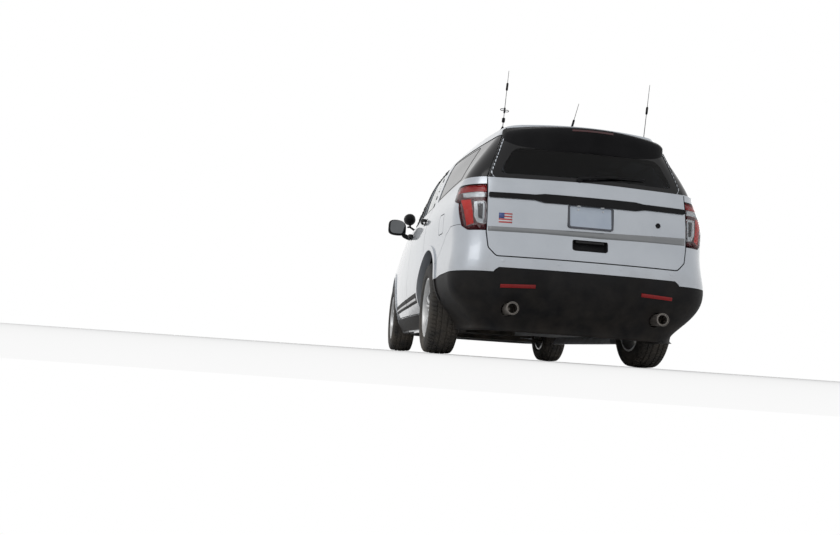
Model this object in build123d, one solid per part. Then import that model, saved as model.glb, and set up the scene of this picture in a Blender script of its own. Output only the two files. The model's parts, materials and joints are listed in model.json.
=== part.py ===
# A mid-size patrol car with a wagon body, built as separate pieces.
# The frame is X forward, Y to the car's left and Z up, in millimetres.
# The origin is on the ground, midway along the car's length.
from build123d import *
from collections import namedtuple
from functools import lru_cache
import math
import os

# Overall sizes
LENGTH = 5006
BODY_WIDTH = 2004
ROOF_HEIGHT = 1758
WHEELBASE = 2860
FRONT_OVERHANG = 930
TRACK = 1702
MIRROR_SPAN = 2290

# Tyres and wheels
TYRE_RADIUS = 363
TYRE_WIDTH = 245
RIM_RADIUS = 228.6
RIM_WIDTH = 200

# Places that follow from the overall sizes
FRONT_X = LENGTH / 2
REAR_X = -LENGTH / 2
FRONT_AXLE_X = FRONT_X - FRONT_OVERHANG
REAR_AXLE_X = FRONT_AXLE_X - WHEELBASE
AXLE_Z = TYRE_RADIUS
WHEEL_Y = TRACK / 2

# Walls, gaps and clearances
DOOR_THICK = 60
FLANGE = 50
FLANGE_GAP = 14
FLANGE_REACH = 45
UPPER_SHARE = 0.6
PANEL_GAP = 7
TAILGATE_GAP = 8.5
FIXED_GAP = 3.5
SKIN_EDGE = 12
EDGE_STEP = 20
GLASS_THICK = 5
GLASS_INSET = 4
GLASS_GAP = 2
GLASS_LAP = 25

# Heights
SILL_Z = 190
FLOOR_Z = 290
FLOOR_THICK = 30
DOOR_BOTTOM_Z = 335
BELT_FRONT_Z = 1158
BELT_REAR_Z = 1262
COWL_X = 1000
COWL_FRONT_X = 1380
FIREWALL_X = 1330
FIREWALL_THICK = 30

# Wheel arches
ARCH_RADIUS = 440
ARCH_LIFT = 20
ARCH_Z = AXLE_Z + ARCH_LIFT
LINER_RADIUS = 480
LINER_THICK = 5
LIP_WIDTH = 40
LIP_PROUD = 10
LIP_INNER_Y = 925

# Floor and what it carries
CARGO_FLOOR_Z = 600
CARGO_FRONT_X = -1170
CARGO_REAR_X = -2470
LOAD_EDGE_GAP = 3
FLOOR_Y = 1000
TUNNEL_Y = 140
TUNNEL_TOP_Z = 400
TUNNEL_THICK = 25
WHEELHOUSE_Y = 560
FRONT_WHEELHOUSE_Y = 520

# Steering and suspension
KINGPIN_LOW = (790, 215)
KINGPIN_TOP = (610, 960)
STUB_RADIUS = 30
BORE_GAP = 0.3
STRUT_RADIUS = 26
ROD_RADIUS = 10
STUD_RADIUS = 12
JOINT_GAP = 0.5
HUB_IN_Y = 745
HUB_OUT_Y = 835
HUB_RADIUS = 62
RAIL_Y = (430, 510)
RAIL_Z = (430, 530)
COLUMN_TILT = 25
STEERING_WHEEL = (640, 370, 950)
STEERING_WHEEL_RADIUS = 185
SPRING_RADIUS = 62
SPRING_COILS = 6
SPRING_PITCH = 28
SPOKE_PAIRS = 5
SPOKE_THICK = 34

# Seats
FRONT_SEAT_Y = 370
FRONT_SEAT_WIDTH = 500
REAR_SEAT_WIDTH = 1090

# Antennas: place on the roof, radius of the base, height, and lean to the rear in degrees
Antenna = namedtuple("Antenna", "x y base height lean")
ANTENNAS = [Antenna(-1935, 550, 20, 470, 2), Antenna(-1930, 0, 24, 190, 30), Antenna(-2010, -490, 22, 415, 2)]
ANTENNA_ROD = 3.5
ANTENNA_COIL = 9
SPOT_LAMP = (1085, 905, 1392)

# Plan outlines of the body, from the sill up, and of the glasshouse, from the belt up
Level = namedtuple(
    "Level",
    "z front_x front_corner_x front_corner_y side_y rear_corner_x rear_corner_y rear_x front_r rear_r",
)
SIDE_Y = BODY_WIDTH / 2
LOWER = [
    Level(SILL_Z, FRONT_X - 133, 2240, 790, SIDE_Y - 117, -2270, 735, REAR_X + 190, 280, 200),
    Level(430, FRONT_X - 23, 2320, 890, SIDE_Y - 24, -2350, 897, REAR_X + 35, 330, 270),
    Level(620, FRONT_X, 2330, 910, SIDE_Y, -2370, 925, REAR_X + 7, 340, 280),
    Level(800, FRONT_X - 15, 2310, 905, SIDE_Y - 4, -2355, 903, REAR_X + 46, 335, 280),
    Level(960, FRONT_X - 58, 2265, 880, SIDE_Y - 15, -2335, 912, REAR_X + 62, 320, 280),
    Level(1120, FRONT_X - 130, 2187, 843, SIDE_Y - 44, -2314, 891, REAR_X + 80, 312, 268),
    Level(1290, FRONT_X - 210, 2100, 800, SIDE_Y - 84, -2290, 862, REAR_X + 114, 300, 255),
]
UPPER = [
    Level(1080, 1514, 1292, 885, 938, -2293, 855, -2415, 120, 245),
    Level(1270, 1192, 988, 848, 898, -2260, 843, -2376, 115, 235),
    Level(1450, 890, 700, 800, 842, -2225, 728, -2330, 110, 205),
    Level(1640, 564, 396, 717, 742, -2172, 592, -2268, 100, 175),
    Level(1800, 290, 150, 570, 560, -2110, 475, -2190, 90, 130),
]
CORNER_SHARE = 0.8

# Crown of a doubly curved panel: its highest point and its radii along and across the car
Crown = namedtuple("Crown", "x z along_r across_r half_width depth half_angle")
ROOF = Crown(-150, ROOF_HEIGHT, 38000, 8000, 1100, 900, 5)
HOOD = Crown(1150, 1226, 4000, 6500, 1100, 1150, 22)


def polygon(*points):
    return make_face(Polyline(*points, close=True))


def rounded(radius, *points):
    """A polygon with every corner rounded."""
    face = polygon(*points)
    return fillet(face.vertices(), radius)


def along_x(face, x0, x1):
    """A face drawn in Y and Z, carried from x0 to x1."""
    return extrude(Plane(origin=(x0, 0, 0), x_dir=(0, 1, 0), z_dir=(1, 0, 0)) * face, x1 - x0)


def along_y(face, y0, y1):
    """A face drawn in X and Z, carried from y0 to y1."""
    return extrude(Plane(origin=(0, y1, 0), x_dir=(1, 0, 0), z_dir=(0, -1, 0)) * face, y1 - y0)


def along_z(face, z0, z1):
    """A face drawn in X and Y, carried from z0 to z1."""
    return extrude(Plane.XY.offset(z0) * face, z1 - z0)


def block(x0, x1, y0, y1, z0, z1):
    centre = Location(((x0 + x1) / 2, (y0 + y1) / 2, (z0 + z1) / 2))
    return centre * Box(x1 - x0, y1 - y0, z1 - z0)


def tube_y(x, z, y0, y1, radius):
    """A round bar along Y."""
    return along_y(Location((x, z)) * Circle(radius), y0, y1)


def bar_x(x0, x1, y, z, radius):
    """A round bar along X."""
    return along_x(Location((y, z)) * Circle(radius), x0, x1)


def both_sides(piece):
    """A piece on the left and its mirror image on the right."""
    return Compound([*piece.solids(), *mirror(piece, Plane.XZ).solids()])


def right_of(piece):
    return mirror(piece, Plane.XZ)


def outline(level, inset):
    """The closed plan outline at one height: four arcs with rounded corners."""
    front_x = level.front_x - inset
    fx, fy = level.front_corner_x - inset, level.front_corner_y - inset
    side_y = level.side_y - inset
    rx, ry = level.rear_corner_x + inset, level.rear_corner_y - inset
    middle = (fx + rx) / 2
    face = make_face(
        [
            ThreePointArc((fx, -fy), (front_x, 0), (fx, fy)),
            ThreePointArc((fx, fy), (middle, side_y), (rx, ry)),
            ThreePointArc((rx, ry), (level.rear_x + inset, 0), (rx, -ry)),
            ThreePointArc((rx, -ry), (middle, -side_y), (fx, -fy)),
        ]
    )
    front = [v for v in face.vertices() if v.X > 0]
    face = fillet(front, level.front_r - inset * CORNER_SHARE)
    rear = [v for v in face.vertices() if abs(v.X - rx) < 1 and abs(abs(v.Y) - ry) < 1]
    face = fillet(rear, level.rear_r - inset * CORNER_SHARE)
    return Location((0, 0, level.z)) * face


@lru_cache
def lower_form(inset=0.0):
    return loft([outline(level, inset) for level in LOWER])


@lru_cache
def upper_form(inset=0.0):
    return loft([outline(level, inset) for level in UPPER])


def under_crown(crown, inset=0.0):
    """The space under a doubly curved panel, made by turning a shallow arc about an axis far below."""
    r = crown.along_r
    drop = crown.across_r - math.sqrt(crown.across_r**2 - crown.half_width**2)
    w = crown.half_width
    face = make_face(
        [
            ThreePointArc((-w, r - inset - drop), (0, r - inset), (w, r - inset - drop)),
            Polyline(
                (w, r - inset - drop), (w, r - crown.depth), (-w, r - crown.depth), (-w, r - inset - drop)
            ),
        ]
    )
    centre = (crown.x, 0, crown.z - r)
    face = Plane(origin=centre, x_dir=(0, 1, 0), z_dir=(1, 0, 0)) * face
    axis = Axis(centre, (0, 1, 0))
    return revolve(face.rotate(axis, -crown.half_angle), axis, 2 * crown.half_angle)


def belt_z(x):
    """Height of the belt line at one place along the car."""
    share = (COWL_X - x) / (COWL_X - REAR_X)
    return BELT_FRONT_Z + share * (BELT_REAR_Z - BELT_FRONT_Z)


@lru_cache
def body_form(inset=0.0):
    """The whole body's volume, taken in by an inset, half glasshouse and half lower body."""
    upper_inset = inset * UPPER_SHARE
    rear = REAR_X - 50
    behind_cowl = along_y(
        polygon(
            (rear, 0), (COWL_X, 0), (COWL_X, BELT_FRONT_Z - upper_inset), (rear, belt_z(rear) - upper_inset)
        ),
        -1100,
        1100,
    )
    hood_side = under_crown(HOOD, upper_inset) & block(COWL_X, FRONT_X + 50, -1100, 1100, 0, ROOF_HEIGHT)
    lower = lower_form(inset) & (behind_cowl + hood_side)
    upper = upper_form(upper_inset) & under_crown(ROOF, upper_inset)
    return lower + upper


@lru_cache
def glass_sheet(inset):
    """A curved sheet that follows the glasshouse."""
    return upper_form(inset) - upper_form(inset + GLASS_THICK)


# Side outlines in X and Z. Seams are drawn on their middle line, and each piece stops half a gap short.
HINGE_PILLAR_X = 1010
B_PILLAR_X = -93
C_PILLAR_X = -1010
DOOR_TOP_Z = 1658
FRONT_DOOR = [
    (HINGE_PILLAR_X, DOOR_BOTTOM_Z),
    (HINGE_PILLAR_X, 1200),
    (322, 1628),
    (120, 1654),
    (B_PILLAR_X, DOOR_TOP_Z),
    (B_PILLAR_X, DOOR_BOTTOM_Z),
]
REAR_DOOR = [
    (B_PILLAR_X, DOOR_BOTTOM_Z),
    (B_PILLAR_X, DOOR_TOP_Z),
    (-700, 1654),
    (-866, 1642),
    (C_PILLAR_X, 1180),
    (C_PILLAR_X, 800),
    (-935, 740),
    (-875, 655),
    (-810, 500),
    (-798, DOOR_BOTTOM_Z),
]
FRONT_WINDOW = [(850, 1206), (262, 1590), (110, 1610), (-30, 1614), (-30, 1220)]
REAR_WINDOW = [(-158, 1225), (-158, 1614), (-680, 1610), (-805, 1600), (-916, 1246)]
QUARTER_WINDOW = [(-1125, 1268), (-1022, 1600), (-1800, 1586), (-1940, 1296)]
QUARTER_PANE = [
    (-1098, 1248), (-990, 1624), (-1820, 1614), (-2600, 1614), (-2600, 1268), (-1940, 1268),
]
TAIL_LAMP = [
    (-2600, 1202), (-2060, 1212), (-2034, 1196), (-2108, 1097), (-2205, 1070), (-2262, 905), (-2312, 872),
    (-2600, 872),
]
HEAD_LAMP = [(1995, 950), (2090, 1112), (2600, 1112), (2600, 825), (2180, 840)]
BUMPER_SEAM_REAR = [
    (-1600, 100), (-1600, 640), (-1750, 748), (-1940, 872), (-2080, 914), (-2600, 914), (-2600, 100),
]
VALANCE = [(-1600, 100), (-1600, 548), (-1900, 576), (-2600, 586), (-2600, 100)]
VALANCE_MIDDLE_HALF = [(0, 300), (690, 300), (662, 590), (630, 616), (0, 616)]
BUMPER_SEAM_FRONT = [(1900, 100), (1900, 640), (2060, 800), (2200, 888), (2600, 888), (2600, 100)]

# Rear outlines in Y and Z, left half
TAILGATE_HALF = [
    (0, 695), (650, 695), (706, 752), (722, 860), (722, 1262), (604, 1600), (568, 1660), (568, 1900),
    (0, 1900),
]
REAR_GLASS_HALF = [(0, 1300), (630, 1292), (520, 1545), (0, 1585)]
REAR_PANE_HALF = [(0, 1268), (702, 1260), (588, 1592), (548, 1628), (0, 1640)]
WINDSHIELD_HALF = [(0, 1215), (765, 1215), (612, 1668), (0, 1697)]
GRILLE_HALF = [(0, 655), (430, 675), (530, 968), (0, 988)]
INTAKE_HALF = [(0, 330), (560, 330), (600, 480), (470, 560), (0, 560)]
PLATE_HALF = [(0, 930), (166, 930), (166, 1092), (0, 1092)]
HANDLE_HALF = [(0, 770), (112, 770), (126, 790), (126, 848), (0, 848)]
BAR_HALF = [
    (0, 1092), (330, 1092), (400, 1107), (714, 1109), (714, 1146), (390, 1147), (330, 1156), (0, 1156),
]
BAR_THICK = 8
PLATE_RECESS = 14
PLATE_BOLT_SPACING = 178
PLATE_BOLT_Z = 1062
PLATE_BOLT_RADIUS = 3.3
PLATE_BOLT_END_X = REAR_X + 118
HANDLE_RECESS = 32

# Smaller side outlines
SPOILER_SIDE = [
    (-2098, 1716), (-2240, 1698), (-2372, 1662), (-2390, 1640), (-2370, 1612), (-2295, 1556), (-2200, 1556),
    (-2098, 1640),
]
SPOILER_FRONT_Y = 560
SPOILER_REAR_Y = 500
FUEL_DOOR = [(-1660, 900), (-1660, 1050), (-1825, 1050), (-1825, 900)]
FUEL_DOOR_THICK = 14
FUEL_POCKET_DEPTH = 45
PIPE_RADIUS = 28
PIPE_Z = 295
TIP_Y = 530
TIP_Z = 340
TIP_RADIUS = 38
TIP_GAP = 12
TIP_WALL = 4
SILENCER_X = (-2215, -1860)
SILL_TRIM = [(-792, 205), (-792, 325), (1078, 325), (1078, 205)]
TRIM_THICK = 8
GRILLE_SLOTS = 6
GRILLE_FIRST_Z = 688
GRILLE_PITCH = 44
GRILLE_SLOT = 30
GRILLE_SLOT_Y = 400
TAILGATE_FRONT_X = -2075
HOOD_REAR_X = 1372
HOOD_REAR_SIDE_X = 1335
HOOD_FRONT_X = 2330
HOOD_FRONT_SIDE_X = 2230
HOOD_SIDE_Y = 785
HOOD_TAPER = 90
COWL_SIDE_Y = 785
ROOF_SEAM_Y = 545
TAIL_LAMP_Y = 726
HEAD_LAMP_Y = 560


def mirrored(half):
    """A whole outline from its left half."""
    return [*half, *[(-y, z) for y, z in reversed(half) if y != 0]]


def side_cut(points, grow=0.0, radius=25.0, y0=500.0, y1=1150.0):
    """The space inside a side outline, from near the middle of the car outwards."""
    face = rounded(radius, *points)
    if grow:
        face = offset(face, grow)
    return along_y(face, y0, y1)


def end_cut(half, grow=0.0, radius=40.0, x0=-2700.0, x1=-1900.0):
    """The space inside an outline seen from the rear or the front."""
    face = rounded(radius, *mirrored(half))
    if grow:
        face = offset(face, grow)
    return along_x(face, x0, x1)


def round_space(axle_x, radius, y0):
    """A round space about an axle, from y0 outwards on the left."""
    return tube_y(axle_x, ARCH_Z, y0, 1150, radius)


def hood_cut(grow=0.0):
    """The space inside the hood's outline seen from above."""
    rear_y, front_y = HOOD_SIDE_Y, HOOD_SIDE_Y - HOOD_TAPER
    face = make_face(
        [
            ThreePointArc((HOOD_FRONT_SIDE_X, -front_y), (HOOD_FRONT_X, 0), (HOOD_FRONT_SIDE_X, front_y)),
            Line((HOOD_FRONT_SIDE_X, front_y), (HOOD_REAR_SIDE_X, rear_y)),
            ThreePointArc((HOOD_REAR_SIDE_X, rear_y), (HOOD_REAR_X, 0), (HOOD_REAR_SIDE_X, -rear_y)),
            Line((HOOD_REAR_SIDE_X, -rear_y), (HOOD_FRONT_SIDE_X, -front_y)),
        ]
    )
    face = fillet(face.vertices(), 30)
    if grow:
        face = offset(face, grow)
    return along_z(face, 900, 1300)


def tailgate_cut(grow=0.0):
    """The space of the tailgate: the rear outline, with its top reaching forward to the roof seam."""
    low = end_cut(TAILGATE_HALF, grow) - block(-2700, 0, -1200, 1200, 1500, 1900)
    high = end_cut(TAILGATE_HALF, grow, x1=TAILGATE_FRONT_X + grow) & block(-2700, 0, -1200, 1200, 1500, 1900)
    return low + high


def rear_bumper_cut(grow=0.0):
    return along_y(offset(rounded(30, *BUMPER_SEAM_REAR), grow), -1150, 1150)


def front_bumper_cut(grow=0.0):
    return along_y(offset(rounded(30, *BUMPER_SEAM_FRONT), grow), -1150, 1150)


def valance_cut(grow=0.0):
    """The space of the black valance, which rises a step between the exhaust tips."""
    middle = end_cut(VALANCE_MIDDLE_HALF, grow, 25, x1=-2150)
    return along_y(offset(rounded(30, *VALANCE), grow), -1150, 1150) + middle


def roof_cut(grow=0.0):
    y = ROOF_SEAM_Y + grow
    return block(TAILGATE_FRONT_X - grow, 700, -y, y, 1550, 1900)


def windshield_cut(grow=0.0):
    return end_cut(WINDSHIELD_HALF, grow, 40, 100, 1600)


def tail_lamp_cut(grow=0.0):
    return side_cut(TAIL_LAMP, grow, 12, TAIL_LAMP_Y - grow)


def head_lamp_cut(grow=0.0):
    return side_cut(HEAD_LAMP, grow, 12, HEAD_LAMP_Y - grow)


def grille_cut(grow=0.0):
    return end_cut(GRILLE_HALF, grow, 40, 2100, 2700)


def arch_lip(axle_x):
    """The raised edge of a wheel arch, on the left. It follows the body's side."""
    profile = polygon(
        (ARCH_RADIUS, LIP_INNER_Y),
        (ARCH_RADIUS, LIP_INNER_Y + 120),
        (ARCH_RADIUS + LIP_WIDTH, LIP_INNER_Y + 120),
        (ARCH_RADIUS + LIP_WIDTH, LIP_INNER_Y),
    )
    centre = (axle_x, 0, ARCH_Z)
    ring = revolve(Plane(origin=centre, x_dir=(1, 0, 0), z_dir=(0, 0, 1)) * profile, Axis(centre, (0, 1, 0)))
    ring = ring & lower_form(-LIP_PROUD)
    return ring & block(-2600, 2600, 0, 1100, SILL_Z + 15, 900)


HALF_GAP = PANEL_GAP / 2
HALF_FIXED = FIXED_GAP / 2
WALL = body_form(0) - body_form(DOOR_THICK)
DOOR_WALL = WALL & block(-1100, HINGE_PILLAR_X, 500, 1200, 0, 1800)


def inner_rim(cut, gap):
    """The rim that the inner panel stands back from the skin's edge."""
    return (cut(10) - cut(-gap - EDGE_STEP)) & body_form(SKIN_EDGE)


def make_door(points, window):
    """A door as thick as the body's side, with its window cut and a slot for the glass."""
    door = DOOR_WALL & side_cut(points, -HALF_GAP)
    door = door - inner_rim(lambda grow: side_cut(points, grow), HALF_GAP)
    return door - side_cut(window) - make_door_glass(window)


def make_door_glass(window):
    return glass_sheet(10) & side_cut(window, 12)


def flush_room(cut):
    """The shallow rebate that a flush pane lies in."""
    return (upper_form(-20) - upper_form(GLASS_INSET + GLASS_THICK)) & cut


def make_side_panel():
    """The left outer side: roof rail, sill and quarter panel in one."""
    side = WALL & block(-2600, HINGE_PILLAR_X + 45, 1, 1200, 0, 1800)
    side = side - DOORWAYS - roof_cut(HALF_FIXED) - tailgate_cut(TAILGATE_GAP / 2)
    side = side + arch_lip(REAR_AXLE_X) - round_space(REAR_AXLE_X, ARCH_RADIUS, 500)
    side = side - (under_crown(HOOD) & block(HINGE_PILLAR_X - HALF_GAP, 1500, 0, 1200, 0, 1300))
    side = side - tail_lamp_cut(HALF_FIXED) - rear_bumper_cut(HALF_FIXED)
    side = side - side_cut(QUARTER_WINDOW) - flush_room(side_cut(QUARTER_PANE, GLASS_GAP))
    pillar_foot = WALL & block(HINGE_PILLAR_X + 45, 1450, COWL_SIDE_Y, 1200, 1100, 1500)
    side = side + (pillar_foot - under_crown(HOOD))
    return side - windshield_cut(-GLASS_LAP) - flush_room(windshield_cut(GLASS_GAP))


def make_door_frame():
    """The left inner frame: pillars, rail and sill that the doors close on."""
    frame = body_form(DOOR_THICK) - body_form(DOOR_THICK + FLANGE)
    frame = frame & block(-1075, HINGE_PILLAR_X + 45, 500, 1200, SILL_Z, 1800)
    frame = frame - ((body_form(0) - body_form(DOOR_THICK + FLANGE_GAP)) & DOORWAYS)
    frame = frame - side_cut(FRONT_DOOR, -FLANGE_REACH) - side_cut(REAR_DOOR, -FLANGE_REACH)
    return frame - round_space(REAR_AXLE_X, LINER_RADIUS, 500) - windshield_cut(-GLASS_LAP)


def make_fender():
    """The left front fender, from the door seam to the bumper and the lamp."""
    fender = WALL & block(HINGE_PILLAR_X + HALF_GAP, 2600, 1, 1200, 0, 1300) & under_crown(HOOD)
    fender = fender + arch_lip(FRONT_AXLE_X) - round_space(FRONT_AXLE_X, ARCH_RADIUS, 500)
    fender = fender - hood_cut(HALF_GAP) - head_lamp_cut(HALF_FIXED) - front_bumper_cut(HALF_FIXED)
    return fender - block(1000, 1450, -COWL_SIDE_Y - HALF_FIXED, COWL_SIDE_Y + HALF_FIXED, 900, 1300) - NOSE


def make_hood():
    hood = WALL & hood_cut(-HALF_GAP) & under_crown(HOOD)
    return hood - inner_rim(hood_cut, HALF_GAP)


def make_cowl():
    """The black panel between the hood and the windshield."""
    side_y = COWL_SIDE_Y - HALF_FIXED
    cowl = WALL & block(1100, COWL_FRONT_X, -side_y, side_y, 1000, 1300)
    cowl = cowl - hood_cut(HALF_GAP) - windshield_cut(-GLASS_LAP)
    return cowl - flush_room(windshield_cut(GLASS_GAP))


def end_shell(axle_x, x0, x1):
    """The wall at one end of the car with the lips of its wheel arches."""
    lips = both_sides(arch_lip(axle_x)).solids()
    shell = (WALL & block(x0, x1, -1200, 1200, 0, 1300)) + lips[0] + lips[1]
    return shell - both_sides(round_space(axle_x, ARCH_RADIUS, 500))


def make_front_bumper():
    """The front bumper, open for the grille and the lower intake."""
    bumper = end_shell(FRONT_AXLE_X, 1850, 2600) & front_bumper_cut(-HALF_FIXED)
    bumper = bumper - grille_cut(HALF_FIXED) - both_sides(head_lamp_cut(HALF_FIXED))
    return bumper - end_cut(INTAKE_HALF, 0, 40, 2100, 2700)


def make_nose():
    """The strip over the grille, from lamp to lamp."""
    nose = WALL & NOSE - hood_cut(HALF_GAP) - grille_cut(HALF_FIXED)
    return nose - both_sides(head_lamp_cut(HALF_FIXED)) - front_bumper_cut(HALF_FIXED)


def make_grille():
    """The grille: a frame with level bars, and one upright in the middle."""
    panel = (lower_form(10) - lower_form(50)) & grille_cut(0)
    for row in range(GRILLE_SLOTS):
        z = GRILLE_FIRST_Z + row * GRILLE_PITCH
        for side in (-1, 1):
            y0, y1 = sorted((side * 18, side * (GRILLE_SLOT_Y + 10 * row)))
            panel = panel - block(2200, 2600, y0, y1, z, z + GRILLE_SLOT)
    return panel


def make_head_lamp():
    lamp = (body_form(0) - body_form(DOOR_THICK)) & head_lamp_cut(0)
    return lamp - hood_cut(HALF_GAP)


def make_tail_lamp():
    return WALL & tail_lamp_cut(0)


def make_rear_bumper():
    bumper = end_shell(REAR_AXLE_X, -2600, -1600) & rear_bumper_cut(-HALF_FIXED)
    bumper = bumper - tailgate_cut(TAILGATE_GAP / 2) - valance_cut(HALF_FIXED)
    return bumper - both_sides(tail_lamp_cut(HALF_FIXED))


def make_valance():
    """The black lower part of the rear bumper, open round the exhaust tips."""
    valance = end_shell(REAR_AXLE_X, -2600, -1600) & rear_bumper_cut(-HALF_FIXED) & valance_cut(-HALF_FIXED)
    for side in (-1, 1):
        valance = valance - bar_x(-2600, -2200, side * TIP_Y, TIP_Z, TIP_RADIUS + TIP_GAP)
    return valance


def make_roof():
    roof = WALL & roof_cut(-HALF_FIXED)
    return roof - windshield_cut(-GLASS_LAP) - flush_room(windshield_cut(GLASS_GAP))


def make_windshield():
    return glass_sheet(GLASS_INSET) & windshield_cut(0)


def make_quarter_glass():
    return (glass_sheet(GLASS_INSET) & side_cut(QUARTER_PANE)) - tailgate_cut(TAILGATE_GAP / 2)


def make_tailgate():
    """The tailgate with its window opening, the plate's recess and the handle's recess."""
    gate = WALL & tailgate_cut(-TAILGATE_GAP / 2)
    gate = gate - inner_rim(tailgate_cut, TAILGATE_GAP / 2)
    gate = gate - end_cut(REAR_GLASS_HALF) - flush_room(end_cut(REAR_PANE_HALF, GLASS_GAP))
    shallow = lower_form(-20) - lower_form(PLATE_RECESS)
    gate = gate - (shallow & end_cut(PLATE_HALF, 0, 15))
    deep = lower_form(-20) - lower_form(HANDLE_RECESS)
    gate = gate - (deep & end_cut(HANDLE_HALF, 0, 10))
    for side in (-1, 1):
        bolt_y = side * PLATE_BOLT_SPACING / 2
        gate = gate - bar_x(-2600, PLATE_BOLT_END_X, bolt_y, PLATE_BOLT_Z, PLATE_BOLT_RADIUS)
    return gate


def make_tailgate_glass():
    return glass_sheet(GLASS_INSET) & end_cut(REAR_PANE_HALF)


def make_spoiler():
    """The spoiler over the rear window: its underside comes down onto the glass."""
    face = fillet(polygon(*SPOILER_SIDE).vertices(), 9)
    spoiler = along_y(face, -SPOILER_FRONT_Y, SPOILER_FRONT_Y)
    front, rear = (-2000, SPOILER_FRONT_Y), (-2400, SPOILER_REAR_Y)
    plan = fillet(polygon(front, rear, (rear[0], -rear[1]), (front[0], -front[1])).vertices(), 60)
    return (spoiler & along_z(plan, 1500, 1800)) - body_form(0)


def make_tailgate_bar():
    """The raised black strip from lamp to lamp, deeper over the plate."""
    raised = lower_form(-BAR_THICK) - lower_form(0)
    return (raised & end_cut(BAR_HALF, 0, 10)) - body_form(0)


def make_fuel_door():
    return (lower_form(0) - lower_form(FUEL_DOOR_THICK)) & side_cut(FUEL_DOOR, -HALF_GAP)


def fuel_pocket():
    return (lower_form(-20) - lower_form(FUEL_POCKET_DEPTH)) & side_cut(FUEL_DOOR, HALF_GAP)


def make_sill_trim():
    raised = lower_form(-TRIM_THICK) - lower_form(0)
    return (raised & side_cut(SILL_TRIM, 0, 8)) - body_form(0)


DOORWAYS = side_cut(FRONT_DOOR, HALF_GAP) + side_cut(REAR_DOOR, HALF_GAP)
NOSE = block(2080, 2600, -HEAD_LAMP_Y, HEAD_LAMP_Y, 885, 1300)


def kingpin_y(z):
    """Where the steering axis is at one height."""
    (y0, z0), (y1, z1) = KINGPIN_LOW, KINGPIN_TOP
    return y0 + (z - z0) * (y1 - y0) / (z1 - z0)


def on_kingpin(radius, z0, z1, axle_x=FRONT_AXLE_X):
    """A round bar along the steering axis between two heights."""
    start = Vector(axle_x, kingpin_y(z0), z0)
    end = Vector(axle_x, kingpin_y(z1), z1)
    plane = Plane(origin=start, x_dir=(1, 0, 0), z_dir=(end - start).normalized())
    return extrude(plane * Circle(radius), (end - start).length)


def make_floor():
    """The cabin floor with its tunnel and firewall, stepped up to the load floor."""
    cabin = lower_form(DOOR_THICK + FLANGE)
    bottom = FLOOR_Z - FLOOR_THICK
    floor = block(CARGO_FRONT_X, FIREWALL_X + FIREWALL_THICK, -FLOOR_Y, FLOOR_Y, bottom, FLOOR_Z)
    tunnel_x = (CARGO_FRONT_X - FLOOR_THICK, FIREWALL_X + FIREWALL_THICK)
    floor = floor + block(FIREWALL_X, tunnel_x[1], -FLOOR_Y, FLOOR_Y, bottom, 1080)
    floor = floor + block(tunnel_x[0], CARGO_FRONT_X, -FLOOR_Y, FLOOR_Y, bottom, CARGO_FLOOR_Z)
    floor = floor + block(*tunnel_x, -TUNNEL_Y, TUNNEL_Y, bottom, TUNNEL_TOP_Z)
    inside = TUNNEL_Y - TUNNEL_THICK
    floor = floor - block(-1300, 1500, -inside, inside, bottom - 10, TUNNEL_TOP_Z - TUNNEL_THICK)
    floor = floor & cabin
    load_z = CARGO_FLOOR_Z - FLOOR_THICK
    load = block(CARGO_REAR_X, CARGO_FRONT_X - FLOOR_THICK, -FLOOR_Y, FLOOR_Y, load_z, CARGO_FLOOR_Z)
    floor = floor + (load & lower_form(DOOR_THICK + LOAD_EDGE_GAP))
    houses = both_sides(round_space(REAR_AXLE_X, LINER_RADIUS, WHEELHOUSE_Y - LINER_THICK))
    houses = houses.solids() + both_sides(
        round_space(FRONT_AXLE_X, LINER_RADIUS, FRONT_WHEELHOUSE_Y - LINER_THICK)
    ).solids()
    for house in houses:
        floor = floor - house
    return floor


def make_liner(axle_x, inner_y, disc_x, disc_z):
    """A wheelhouse: a round shell, with an inner disc where it closes off the cabin."""
    inner = LINER_RADIUS - LINER_THICK
    shell = round_space(axle_x, LINER_RADIUS, inner_y - LINER_THICK) - round_space(axle_x, inner, inner_y)
    outer_y = LIP_INNER_Y - FIXED_GAP
    shell = shell & block(axle_x - 500, axle_x + 500, 0, outer_y, FLOOR_Z - FLOOR_THICK, 900)
    opening = block(*disc_x, inner_y - 2 * LINER_THICK, inner_y, 0, disc_z)
    return (shell - (opening & round_space(axle_x, inner, 0))) & lower_form(DOOR_THICK)


def make_rear_liner():
    opening_x = (REAR_AXLE_X - 500, CARGO_FRONT_X - FLOOR_THICK)
    return make_liner(REAR_AXLE_X, WHEELHOUSE_Y, opening_x, CARGO_FLOOR_Z - 50)


def make_front_liner():
    opening_x = (FIREWALL_X + FIREWALL_THICK, FRONT_AXLE_X + 500)
    liner = make_liner(FRONT_AXLE_X, FRONT_WHEELHOUSE_Y, opening_x, 1000)
    return liner - on_kingpin(SPRING_RADIUS + 12, 700, 900)


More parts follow.
